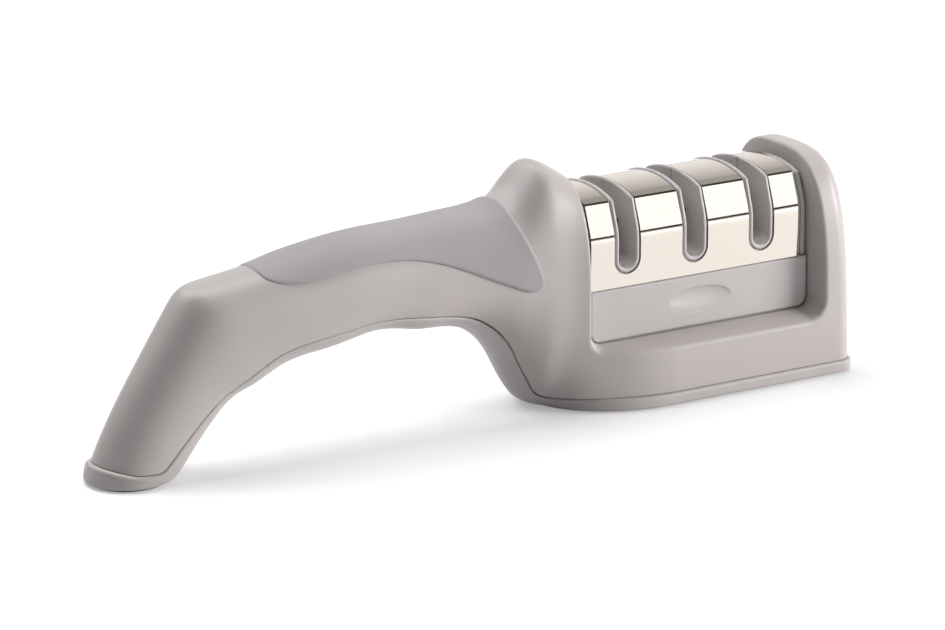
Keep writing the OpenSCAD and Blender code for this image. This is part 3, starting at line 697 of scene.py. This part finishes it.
def lower_field(p):
    """The lower shell: proud of the upper one, most of all round the foot, with soft edges."""
    f, g = skin(p)
    near = (np.clip((BEAD_X - p[:, 0]) / BEAD_X_FADE, 0, 1)
            * np.clip((BEAD_Z - p[:, 2]) / BEAD_Z_FADE, 0, 1))
    proud = STRIP_PROUD + (FOOT_BEAD - STRIP_PROUD) * smoothstep(near)
    d, slope = seam_edge(p, TABLE_SLOPE)
    body = blend_max((f - proud, g), (d + LEAST, slope), STRIP_EDGE)
    down = np.tile([0.0, 0.0, -1.0], (len(p), 1))
    return blend_max(body, (SOLE_Z - p[:, 2], down), SOLE_EDGE)


def build_lower():
    """The lower shell, with the seat of the foot's screw."""
    step = 0.5
    points, faces, _ = net(lower_field, [FOOT_X - 2, -SHELL_W - 2, -1],
                           [LOWER_X, SHELL_W + 2, LOWER_Z], step)
    obj = make_object("shell_lower", points, faces)
    drill(obj, "foot_screw")
    set_normals(obj, lower_field(points_of(obj))[1])
    return obj


def drill(obj, node):
    """Opens the round seats of a node's screws in the sole of a piece."""
    low, high = box_mm(node)
    a = np.linspace(0, 2 * math.pi, 48, endpoint=False)
    r = SCREW_HEAD_R + SCREW_ROOM
    for x in np.unique(np.round([low[0] + SCREW_HEAD_R, high[0] - SCREW_HEAD_R], 2)):
        for y in np.unique(np.round([low[1] + SCREW_HEAD_R, high[1] - SCREW_HEAD_R], 2)):
            ring = [x + r * np.cos(a), y + r * np.sin(a)]
            tool = make_object("drill", *rings_mesh(
                [np.column_stack([*ring, np.full(len(a), z)])
                 for z in (SOLE_Z - SCREW_HEAD_H, SOLE_Z + SCREW_HEAD_H)]))
            outward(tool)
            cut(obj, tool)


def smooth_by_angle(obj, degrees):
    """Smooth shading with sharp edges from an angle on."""
    mesh = obj.data
    mesh.polygons.foreach_set("use_smooth", [True] * len(mesh.polygons))
    mesh.set_sharp_from_angle(angle=math.radians(degrees))


BOW_POINTS, SIDE_POINTS, CORNER_POINTS = 73, 22, 13
BASE_POINTS = BOW_POINTS + 2 * SIDE_POINTS + 2 * CORNER_POINTS


def base_outline(inset):
    """The base seen from below: a bow under the horn, straight sides, rounded corners."""
    bow = BASE_BOW * BODY_W / 2
    r = max(BASE_R, inset)
    half = BODY_W / 2
    a = np.radians(np.linspace(90, 270, BOW_POINTS))
    pts = [np.stack([HORN_X + bow + (bow - inset) * np.cos(a), (half - inset) * np.sin(a)], 1)]
    straight = np.linspace(HORN_X + bow, NOSE_X - r, SIDE_POINTS + 2)[1:-1]
    pts.append(np.stack([straight, np.full(SIDE_POINTS, -half + inset)], 1))
    for start, side in ((-90, -1), (0, 1)):
        a = np.radians(np.linspace(start, start + 90, CORNER_POINTS))
        pts.append(np.stack([NOSE_X - r + (r - inset) * np.cos(a),
                             side * (half - r) + (r - inset) * np.sin(a)], 1))
    pts.append(np.stack([straight[::-1], np.full(SIDE_POINTS, half - inset)], 1))
    return np.concatenate(pts)


# How far the lip and the last rings of the sole and the lip lie inside the base's outline
LIP_IN, LIP_H = 2.2, 1.2
SOLE_IN, SOLE_EDGE_IN, LIP_TOP_IN = 6.0, 1.2, 5.0
SOLE_SHARE = 0.7


def build_base():
    """A base plate with a rounded bead for its edge and a lip that rises inside the shell."""
    under = BASE_EDGE * SOLE_SHARE
    turn = np.radians(np.arange(0, 91, 15))
    rows = [(SOLE_IN, SOLE_Z), (SOLE_EDGE_IN, SOLE_Z)]
    rows += [(under * (1 - math.sin(a)), SOLE_Z + under * (1 - math.cos(a))) for a in turn]
    rows += [(BASE_EDGE * (1 - math.cos(a)), RIM_H - BASE_EDGE * (1 - math.sin(a))) for a in turn]
    rows += [(LIP_IN, RIM_H), (LIP_IN, RIM_H + LIP_H), (LIP_TOP_IN, RIM_H + LIP_H)]
    rings = [np.column_stack([base_outline(inset), np.full(BASE_POINTS, z)]) for inset, z in rows]
    obj = make_object("base_rim", *rings_mesh(rings))
    outward(obj)
    drill(obj, "base_screws")
    smooth_by_angle(obj, 40)
    return obj


# ---------------------------------------------------------------- grip inlay
def inlay_outline():
    """The inlay's outline seen from the side, in millimetres."""
    pts = np.array(INLAY) * [HANDLE_L, BODY_H] + [FOOT_X, 0]
    body = catmull(pts[1:-1], 12)
    return np.concatenate([pts[:1], body, pts[-1:]])


# Boxes in millimetres: the inlay's net, and the table of its outline
INLAY_NET = [-67, -19, 31], [19, 19, 62]
INLAY_TABLE = [-70, 28], [22, 66]
inlay_table = Table2D(lambda q: polygon_distance(q, inlay_outline()), *INLAY_TABLE, 0.4)
INLAY_X = FOOT_X + INLAY[1][0] * HANDLE_L
inlay_edge = analytic(lambda p: inlay_table(p[:, 0], p[:, 2]))


def inlay_field(p):
    """The inlay: proud of the handle, less so towards the knee, with a rounded edge."""
    f, g = skin(p)
    grow = smoothstep(np.clip((p[:, 0] - INLAY_X) / INLAY_GROW, 0, 1))
    proud = INLAY_PROUD * (INLAY_LEAST + (1 - INLAY_LEAST) * grow)
    top = blend_max((f - proud, g), inlay_edge(p, TABLE_SLOPE), INLAY_EDGE)
    return blend_max(top, (-f - INLAY_SUNK, -g), INLAY_UNDER_EDGE)


def build_inlay():
    """The soft panel on the handle."""
    step = 0.42
    return make_object("grip_skin", *net(inlay_field, *INLAY_NET, step))


# ---------------------------------------------------------------- head
def cover_profile():
    """Half of the cover's profile, from its lower edge over the bend to the crest."""
    y = np.linspace(ROOF_Y, 0, 24)
    roof = np.stack([y, CREST_Z - ROOF_R + np.sqrt(ROOF_R ** 2 - y * y)], 1)
    side = fillet([(COVER_Y, PANEL_Z - SKIRT_H), (COVER_Y, FLARE_Z), BEND, roof[0]],
                  [FLARE_R, BEND_R])
    return np.concatenate([side, roof[1:]])


PROFILE = cover_profile()
half_section = np.concatenate([PROFILE, PROFILE[::-1][1:] * [-1, 1]])
PROFILE_TABLE = [-1, 22], [20, 62]
profile_table = Table2D(lambda q: polygon_distance(q, half_section), *PROFILE_TABLE, 0.1)


def profile(p):
    """Distance to the cover's outer face."""
    return profile_table(np.abs(p[:, 1]), p[:, 2])


def slot_2d(p, x0):
    """Distance to a slot's side or to its round bottom."""
    dx, dz = np.abs(p[:, 0] - x0), p[:, 2] - SLOT_C
    return np.where(dz > 0, dx, np.hypot(dx, dz)) - SLOT_R


def dimple(p):
    """A thumb recess in the panel: deepest under a crisp arched upper edge, fading below."""
    x, z = (p[:, 0] - DIMPLE_X) / DIMPLE_HALF, p[:, 2] - DIMPLE_Z
    room = DIMPLE_RISE * np.sqrt(np.clip(1 - x * x, 0, 1))
    share = np.clip((z + room) / np.maximum(2 * room, 0.2), 0, 1)
    bowl = np.sin(DIMPLE_TURN * math.pi * share ** DIMPLE_SKEW)
    surface = PANEL_Y - DIMPLE_DEPTH * np.clip(1 - x * x, 0, 1) ** DIMPLE_ENDS * bowl
    shape = (np.hypot(x, z / DIMPLE_RISE) - 1) * DIMPLE_RISE
    return smax(surface - np.abs(p[:, 1]), shape, DIMPLE_EDGE)


# The case: how deep under the sheet its shell and its groove at the nose end lie, the groove's
# ends, where the guides rise to their full height, and the recess for the head's floor
SHELL_IN, GROOVE_IN = 0.75, 1.35
GROOVE_X0, GROOVE_X1 = COVER_B[0] + 0.15, HEAD_END - 1.5
GUIDE_Z, GUIDE_RISE, GUIDE_LEAST = 44, 12, 0.1
FLOOR_HALF, FLOOR_IN, FLOOR_T = 13.7, 1.7, 2.2
HOLDER_ROOM = 0.1
PARTING_GAP, PARTING_EDGE = 0.04, 0.16
# How far the plug runs up into the panel, shell and guides down into it, and the groove stays off
PLUG_UP, SHELL_DOWN, GUIDE_DOWN, GROOVE_UP = 2, 3, 1, 0.1
# Radii of its edges
TOP_EDGE, OUTER_EDGE, GUIDE_EDGE, GROOVE_EDGE, FINE_EDGE = 0.5, 0.6, 0.7, 0.4, 0.2


def case_function(p):
    """The front case half: panel and plug, the shell under the sheet, and half of each guide."""
    x, y, z = p[:, 0], p[:, 1], p[:, 2]
    ay = np.abs(y)
    ends = np.maximum(HEAD_X - x, x - HEAD_END)
    face = smax(rounded(ends, SILL_IN - z, PANEL_R), z - PANEL_Z, TOP_EDGE)
    panel = smax(smax(face, ay - PANEL_Y, OUTER_EDGE), -dimple(p), FINE_EDGE)
    plug = np.maximum(np.maximum(ends + WELL_IN, ay - PANEL_Y + WELL_IN),
                      np.maximum(HEAD_Z - z, z - SILL_IN - PLUG_UP))
    panel = np.minimum(panel, plug)
    prof = profile(p)
    shell = smax(smax(prof + SHELL_IN, ends, OUTER_EDGE), PANEL_Z - SHELL_DOWN - z, FINE_EDGE)
    groove = np.maximum(np.maximum(GROOVE_X0 - x, x - GROOVE_X1), -(prof + GROOVE_IN))
    groove = np.maximum(groove, PANEL_Z + GROOVE_UP - z)
    shell = smax(shell, -groove, GROOVE_EDGE)
    body = np.minimum(panel, shell)
    proud = GUIDE_PROUD * np.clip((z - GUIDE_Z) / GUIDE_RISE, GUIDE_LEAST, 1)
    slots = [slot_2d(p, x0) for x0 in SLOTS]
    for slot in slots:
        guide = smax(smax(slot - GUIDE_T, prof - proud, GUIDE_EDGE),
                     PANEL_Z - GUIDE_DOWN - z, FINE_EDGE)
        body = np.minimum(body, guide)
    for x0, slot in zip(SLOTS, slots):
        body = smax(body, -slot, OUTER_EDGE)
        hole = np.maximum(np.maximum(np.abs(x - x0) - HOLDER_HALF[0] - HOLDER_ROOM,
                                     ay - HOLDER_HALF[1] - HOLDER_ROOM),
                          z - HOLDER_TOP - HOLDER_ROOM)
        body = np.maximum(body, -hole)
    inner_ends = np.maximum(HEAD_X + FLOOR_IN - x, x - HEAD_END + FLOOR_IN)
    under = np.maximum(np.maximum(ay - FLOOR_HALF, inner_ends), z - HEAD_Z - FLOOR_T)
    body = np.maximum(body, -under)
    return smax(body, y + PARTING_GAP, PARTING_EDGE)


case_field = analytic(case_function)
CASE_NET = [HEAD_X - 2, -18.5, HEAD_Z - 2], [HEAD_END + 2, 1.5, CREST_Z + 3]


def build_cases():
    """Both case halves, the rear one as the front one's mirror image."""
    step = 0.3
    points, faces, normals = net(case_field, *CASE_NET, step)
    front = make_object("case_front", points, faces, normals)
    rear = make_object("case_rear", points * [1, -1, 1], faces[:, ::-1], normals * [1, -1, 1])
    return front, rear


def stretch_normals(points, near, line, line_normals):
    """Normals on a line, between its points, each by the nearer stretch at its nearest point."""
    result = np.zeros((len(points), 2))
    for j, (point, i) in enumerate(zip(points, near)):
        least = None
        for a, b in ((i - 1, i), (i, i + 1)):
            if a < 0 or b >= len(line):
                continue
            way = line[b] - line[a]
            t = np.clip(((point - line[a]) @ way) / (way @ way), 0, 1)
            off = np.linalg.norm(point - line[a] - t * way)
            if least is None or off < least:
                least = off
                result[j] = line_normals[a] * (1 - t) + line_normals[b] * t
    return result


def build_cover():
    """The folded steel sheet, cut for the three guides."""
    start = np.argmax(PROFILE[:, 1] > PANEL_Z) - 1
    half = PROFILE[start:].copy()
    half[0] = [COVER_Y, COVER_A[2]]
    tangent = np.gradient(half, axis=0)
    normal = np.stack([tangent[:, 1], -tangent[:, 0]], 1)
    normal /= np.linalg.norm(normal, axis=1, keepdims=True)
    normal[0], normal[-1] = [1, 0], [0, 1]
    outer = np.concatenate([half * [-1, 1], half[::-1][1:]])
    out_n = np.concatenate([normal * [-1, 1], normal[::-1][1:]])
    inner = outer - out_n * COVER_T
    ring = np.concatenate([outer, inner[::-1]])
    rings = [np.column_stack([np.full(len(ring), x), ring]) for x in (COVER_A[0], COVER_B[0])]
    n = len(ring)
    faces = [[k, (k + 1) % n, (k + 1) % n + n, k + n] for k in range(n)]
    for base in (0, n):
        faces += [[base + k, base + k + 1, base + n - 2 - k, base + n - 1 - k]
                  for k in range(len(outer) - 1)]
    obj = make_object("steel_sheet", np.concatenate(rings), faces)
    outward(obj)
    r = SLOT_R + GUIDE_T + CUT_ROOM
    a = np.radians(np.linspace(180, 360, 65))
    for x0 in SLOTS:
        bottom = np.stack([x0 + r * np.cos(a), SLOT_C + r * np.sin(a)], 1)
        sides = [[[x0 + side * r, CREST_Z + OUTSIDE]] for side in (-1, 1)]
        cut(obj, prism(np.concatenate([sides[0], bottom, sides[1]]), CUT_REACH))
    where = points_of(obj)[:, 1:]
    to_outer = ((where[:, None] - outer[None]) ** 2).sum(2)
    to_inner = ((where[:, None] - inner[None]) ** 2).sum(2)
    normals = np.where((to_outer.min(1) <= to_inner.min(1))[:, None],
                       stretch_normals(where, to_outer.argmin(1), outer, out_n),
                       -out_n[to_inner.argmin(1)])
    set_normals(obj, np.column_stack([np.zeros(len(normals)), normals]), COVER_LIMIT)
    return obj


# ---------------------------------------------------------------- materials
def new_material(name, color, roughness, metallic=0.0):
    """A plain material: itself, its node tree and its shader."""
    mat = bpy.data.materials.new(name)
    mat.use_nodes = True
    tree = mat.node_tree
    shader = tree.nodes["Principled BSDF"]
    shader.inputs["Base Color"].default_value = (*color, 1)
    shader.inputs["Roughness"].default_value = roughness
    shader.inputs["Metallic"].default_value = metallic
    return mat, tree, shader


def add_noise(tree, scale, detail=3.0, rough=0.5):
    """Noise in the object's own space, its scale per metre."""
    coords = tree.nodes.new("ShaderNodeTexCoord")
    noise = tree.nodes.new("ShaderNodeTexNoise")
    noise.inputs["Scale"].default_value = scale
    noise.inputs["Detail"].default_value = detail
    noise.inputs["Roughness"].default_value = rough
    tree.links.new(coords.outputs["Object"], noise.inputs["Vector"])
    return noise


def add_bump(tree, shader, noise, strength, distance):
    """A noise as fine relief, its depth in metres."""
    bump = tree.nodes.new("ShaderNodeBump")
    bump.inputs["Strength"].default_value = strength
    bump.inputs["Distance"].default_value = distance
    tree.links.new(noise.outputs["Fac"], bump.inputs["Height"])
    tree.links.new(bump.outputs["Normal"], shader.inputs["Normal"])


def add_tint(tree, shader, noise, dark, light):
    """A colour that drifts between two shades with a noise."""
    ramp = tree.nodes.new("ShaderNodeValToRGB")
    for element, place, color in zip(ramp.color_ramp.elements, (0.35, 0.65), (dark, light)):
        element.position = place
        element.color = (*color, 1)
    tree.links.new(noise.outputs["Fac"], ramp.inputs["Fac"])
    tree.links.new(ramp.outputs["Color"], shader.inputs["Base Color"])


def add_span(tree, source, span, result, kind="LINEAR"):
    """Maps a value from one span onto another."""
    node = tree.nodes.new("ShaderNodeMapRange")
    node.interpolation_type = kind
    for name, value in zip(("From Min", "From Max", "To Min", "To Max"), (*span, *result)):
        node.inputs[name].default_value = value
    tree.links.new(source, node.inputs["Value"])
    return node.outputs["Result"]


def add_math(tree, operation, a, b):
    """Two values combined."""
    node = tree.nodes.new("ShaderNodeMath")
    node.operation = operation
    tree.links.new(a, node.inputs[0])
    tree.links.new(b, node.inputs[1])
    return node.outputs[0]


def add_rough(tree, shader, noise, low, high):
    """A roughness that drifts between two values with a noise."""
    rough = add_span(tree, noise.outputs["Fac"], (0.3, 0.7), (low, high))
    tree.links.new(rough, shader.inputs["Roughness"])


# Depth of the relief in metres, and how far a plastic's shade and roughness drift
PLASTIC_GRAIN, HARD_GRAIN = 0.00004, 0.00003
TINT, ROUGH_SPREAD = 0.015, 0.03


def plastic(name, color, roughness, grain=0.06, scale=2600, sheen=0.5):
    """Moulded plastic or rubber, with a fine grain of a given scale per metre."""
    mat, tree, shader = new_material(name, color, roughness)
    dark, light = ([c * factor for c in color] for factor in (1 - TINT, 1 + TINT))
    add_tint(tree, shader, add_noise(tree, 60, 2), dark, light)
    add_bump(tree, shader, add_noise(tree, scale, 2, 0.6), grain, PLASTIC_GRAIN)
    add_rough(tree, shader, add_noise(tree, 350, 2),
              roughness - ROUGH_SPREAD, roughness + ROUGH_SPREAD)
    shader.inputs["IOR"].default_value = 1.46
    shader.inputs["Specular IOR Level"].default_value = sheen
    return mat


def metal(name, color, roughness, spread, scale, grain=0.0, grain_scale=0):
    """Metal whose roughness drifts, with a grain where it is ground or coated."""
    mat, tree, shader = new_material(name, color, roughness, 1.0)
    add_rough(tree, shader, add_noise(tree, scale, 4), roughness - spread, roughness + spread)
    if grain:
        add_bump(tree, shader, add_noise(tree, grain_scale, 3), grain, HARD_GRAIN)
    return mat


HOUSING_COLOR = (0.475, 0.437, 0.430)
CASE_COLOR = (0.485, 0.452, 0.448)
INLAY_COLOR = (0.378, 0.355, 0.362)
materials = {
    "housing": plastic("housing_plastic", HOUSING_COLOR, 0.42),
    "inlay": plastic("inlay_elastomer", INLAY_COLOR, 0.62, 0.12, 3200, 0.25),
    "case": plastic("case_plastic", CASE_COLOR, 0.42),
    "holders": plastic("holder_plastic", (0.035, 0.035, 0.037), 0.45),
    "pads": plastic("pad_rubber", (0.045, 0.044, 0.043), 0.75, 0.25, 1800),
    "cover": metal("polished_steel", (0.70, 0.645, 0.585), 0.05, 0.02, 120),
    "screws": metal("plated_steel", (0.60, 0.60, 0.62), 0.32, 0.06, 500),
    "diamond": metal("diamond_coat", (0.36, 0.345, 0.32), 0.55, 0.1, 2500, 0.8, 4000),
    "carbide": metal("ground_carbide", (0.32, 0.32, 0.335), 0.3, 0.08, 700, 0.2, 2000),
}
mat, tree, shader = new_material("white_ceramic", (0.84, 0.82, 0.76), 0.4)
add_bump(tree, shader, add_noise(tree, 1600, 3), 0.1, HARD_GRAIN)
shader.inputs["Coat Weight"].default_value = 0.15
materials["ceramic"] = mat


def finish_piece(obj, body, slot, nodes):
    """Gives a skin the material of its slot, hangs it on the body that it rides on, and hides the
    nodes it replaces.
    """
    obj.data.materials.clear()
    obj.data.materials.append(materials[slot])
    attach(obj, body)
    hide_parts(*nodes)


# ---------------------------------------------------------------- pieces
finish_piece(build_upper(), "housing", "housing", ["upper_housing"])
finish_piece(build_lower(), "housing", "housing", ["lower_housing"])
finish_piece(build_base(), "housing", "housing", ["lower_housing"])
finish_piece(build_inlay(), "housing", "inlay", ["grip_inlay"])
case_front, case_rear = build_cases()
finish_piece(case_front, "head", "case", ["front_case"])
finish_piece(case_rear, "head", "case", ["rear_case"])
finish_piece(build_cover(), "head", "cover", ["steel_cover"])

CAD_LOOKS = {
    "base_pads": "pads", "foot_pad": "pads", "base_screws": "screws", "foot_screw": "screws",
    "head_floor": "case", "head_screws": "screws", "diamond_holder": "holders",
    "diamond_rods_outer": "diamond", "diamond_rod_middle": "diamond",
    "carbide_holder": "holders", "carbide_blade_front": "carbide",
    "carbide_blade_rear": "carbide", "carbide_screw": "screws", "carbide_nut": "screws",
    "ceramic_holder": "holders", "ceramic_rods_outer": "ceramic", "ceramic_rod_middle": "ceramic",
}
for node, look in CAD_LOOKS.items():
    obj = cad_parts[node]
    obj.data.materials.clear()
    obj.data.materials.append(materials[look])

# ---------------------------------------------------------------- stage
def around(azimuth, elevation, distance):
    """A place seen from the object, its azimuth counted from the front towards the nose."""
    a, e = math.radians(azimuth), math.radians(elevation)
    return (distance * math.cos(e) * math.sin(a), -distance * math.cos(e) * math.cos(a),
            distance * math.sin(e) + CENTRE[2])


def area_lamp(name, place, size, power, color=(1, 1, 1)):
    """A rectangular lamp that faces the object."""
    data = bpy.data.lights.new(name, "AREA")
    data.shape = "RECTANGLE"
    data.size, data.size_y = size
    data.energy = power
    data.color = color
    obj = add_object(name, data)
    obj.location = place
    obj.rotation_euler = (Vector(CENTRE) - Vector(place)).to_track_quat("-Z", "Y").to_euler()


# The floor, in metres: half its side, where its lift starts to grow and where it is full
FLOOR_HALF_SIDE = 6.0
FLOOR_COLOR = (0.66, 0.66, 0.665)
FLOOR_LIFT, FAR_LIFT, LIFT_SPAN = 0.34, 0.70, (0.35, 1.2)


def build_floor():
    """A pale sheet of paper: lifted a little where it is seen, and more so far from the object."""
    h = FLOOR_HALF_SIDE
    mesh = bpy.data.meshes.new("floor")
    mesh.from_pydata([(-h, -h, 0), (h, -h, 0), (h, h, 0), (-h, h, 0)], [], [(0, 1, 2, 3)])
    obj = add_object("floor", mesh)
    mat, tree, shader = new_material("floor_paper", FLOOR_COLOR, 0.9)
    shader.inputs["Specular IOR Level"].default_value = 0.1
    path = tree.nodes.new("ShaderNodeLightPath")
    seen = path.outputs["Is Camera Ray"]
    for ray in ("Is Glossy Ray", "Is Transmission Ray"):
        seen = add_math(tree, "MAXIMUM", seen, path.outputs[ray])
    place = tree.nodes.new("ShaderNodeTexCoord")
    reach = tree.nodes.new("ShaderNodeVectorMath")
    reach.operation = "LENGTH"
    tree.links.new(place.outputs["Object"], reach.inputs[0])
    lift = add_span(tree, reach.outputs["Value"], LIFT_SPAN, (FLOOR_LIFT, FAR_LIFT), "SMOOTHSTEP")
    shader.inputs["Emission Color"].default_value = (1, 1, 1, 1)
    tree.links.new(add_math(tree, "MULTIPLY", seen, lift), shader.inputs["Emission Strength"])
    obj.data.materials.append(mat)


# The card: where it stands, half its width, its height, and its glow from the floor up
CARD_AZIMUTH, CARD_DISTANCE, CARD_HALF = math.radians(146), 1.5, 0.75
CARD_LOW, CARD_HIGH = 0.06, 1.9
GLOW_SPAN, GLOW = (0.15, 1.0), (1.02, 0.40)


def build_card():
    """A grey card behind the nose, brighter towards the floor, which the steel roof mirrors."""
    sine, cosine = math.sin(CARD_AZIMUTH), math.cos(CARD_AZIMUTH)
    mid = Vector((sine, -cosine, 0)) * CARD_DISTANCE
    side = Vector((cosine, sine, 0)) * CARD_HALF
    corners = [(c.x, c.y, z) for z in (CARD_LOW, CARD_HIGH) for c in (mid - side, mid + side)]
    mesh = bpy.data.meshes.new("card")
    mesh.from_pydata(corners, [], [(0, 1, 3, 2)])
    obj = add_object("card", mesh)
    mat, tree, shader = new_material("card_glow", (1, 1, 1), 1)
    place = tree.nodes.new("ShaderNodeTexCoord")
    split = tree.nodes.new("ShaderNodeSeparateXYZ")
    glow = tree.nodes.new("ShaderNodeEmission")
    glow.inputs["Color"].default_value = (1.0, 0.985, 0.97, 1)
    tree.links.new(place.outputs["Generated"], split.inputs[0])
    strength = add_span(tree, split.outputs["Z"], GLOW_SPAN, GLOW, "SMOOTHSTEP")
    tree.links.new(strength, glow.inputs["Strength"])
    tree.nodes.remove(shader)
    tree.links.new(glow.outputs[0], tree.nodes["Material Output"].inputs["Surface"])
    obj.data.materials.append(mat)
    obj.visible_camera = False


WORLD_LIGHT = 0.06


def build_world():
    """An even, faint light from all sides."""
    world = bpy.data.worlds.new("studio")
    bpy.context.scene.world = world
    world.use_nodes = True
    back = world.node_tree.nodes["Background"]
    back.inputs["Color"].default_value = (1, 1, 1, 1)
    back.inputs["Strength"].default_value = WORLD_LIGHT


CENTRE = (0, 0, 0.03)
build_floor()
build_world()
area_lamp("key", around(57, 12, 1.0), (0.44, 0.25), 9.0, (1.0, 0.99, 0.98))
area_lamp("band", around(30, 18, 1.62), (1.3, 0.80), 5.1, (1.0, 0.995, 0.985))
area_lamp("top", around(180, 78, 1.5), (0.9, 0.7), 14)
area_lamp("rim", around(-154, 47, 1.5), (1.0, 0.8), 12.5)
build_card()

# Camera, as found from the photograph
TARGET = Vector((2.677, 0.0, 26.81)) * MM
DISTANCE = 1137.04 * MM
AZIMUTH, ELEVATION = math.radians(-32.0), math.radians(16.577)
SENSOR_W = 36.0
FOCAL_SHARE = 4400 / 945
camera_data = bpy.data.cameras.new("camera")
camera_data.sensor_width = SENSOR_W
camera_data.lens = SENSOR_W * FOCAL_SHARE
camera_data.clip_start, camera_data.clip_end = 0.05, 50
camera = add_object("camera", camera_data)
away = Vector((math.sin(AZIMUTH) * math.cos(ELEVATION), -math.cos(AZIMUTH) * math.cos(ELEVATION),
               math.sin(ELEVATION)))
camera.location = TARGET + away * DISTANCE
camera.rotation_euler = (-away).to_track_quat("-Z", "Y").to_euler()
bpy.context.scene.camera = camera
bpy.context.scene.view_settings.view_transform = "Standard"
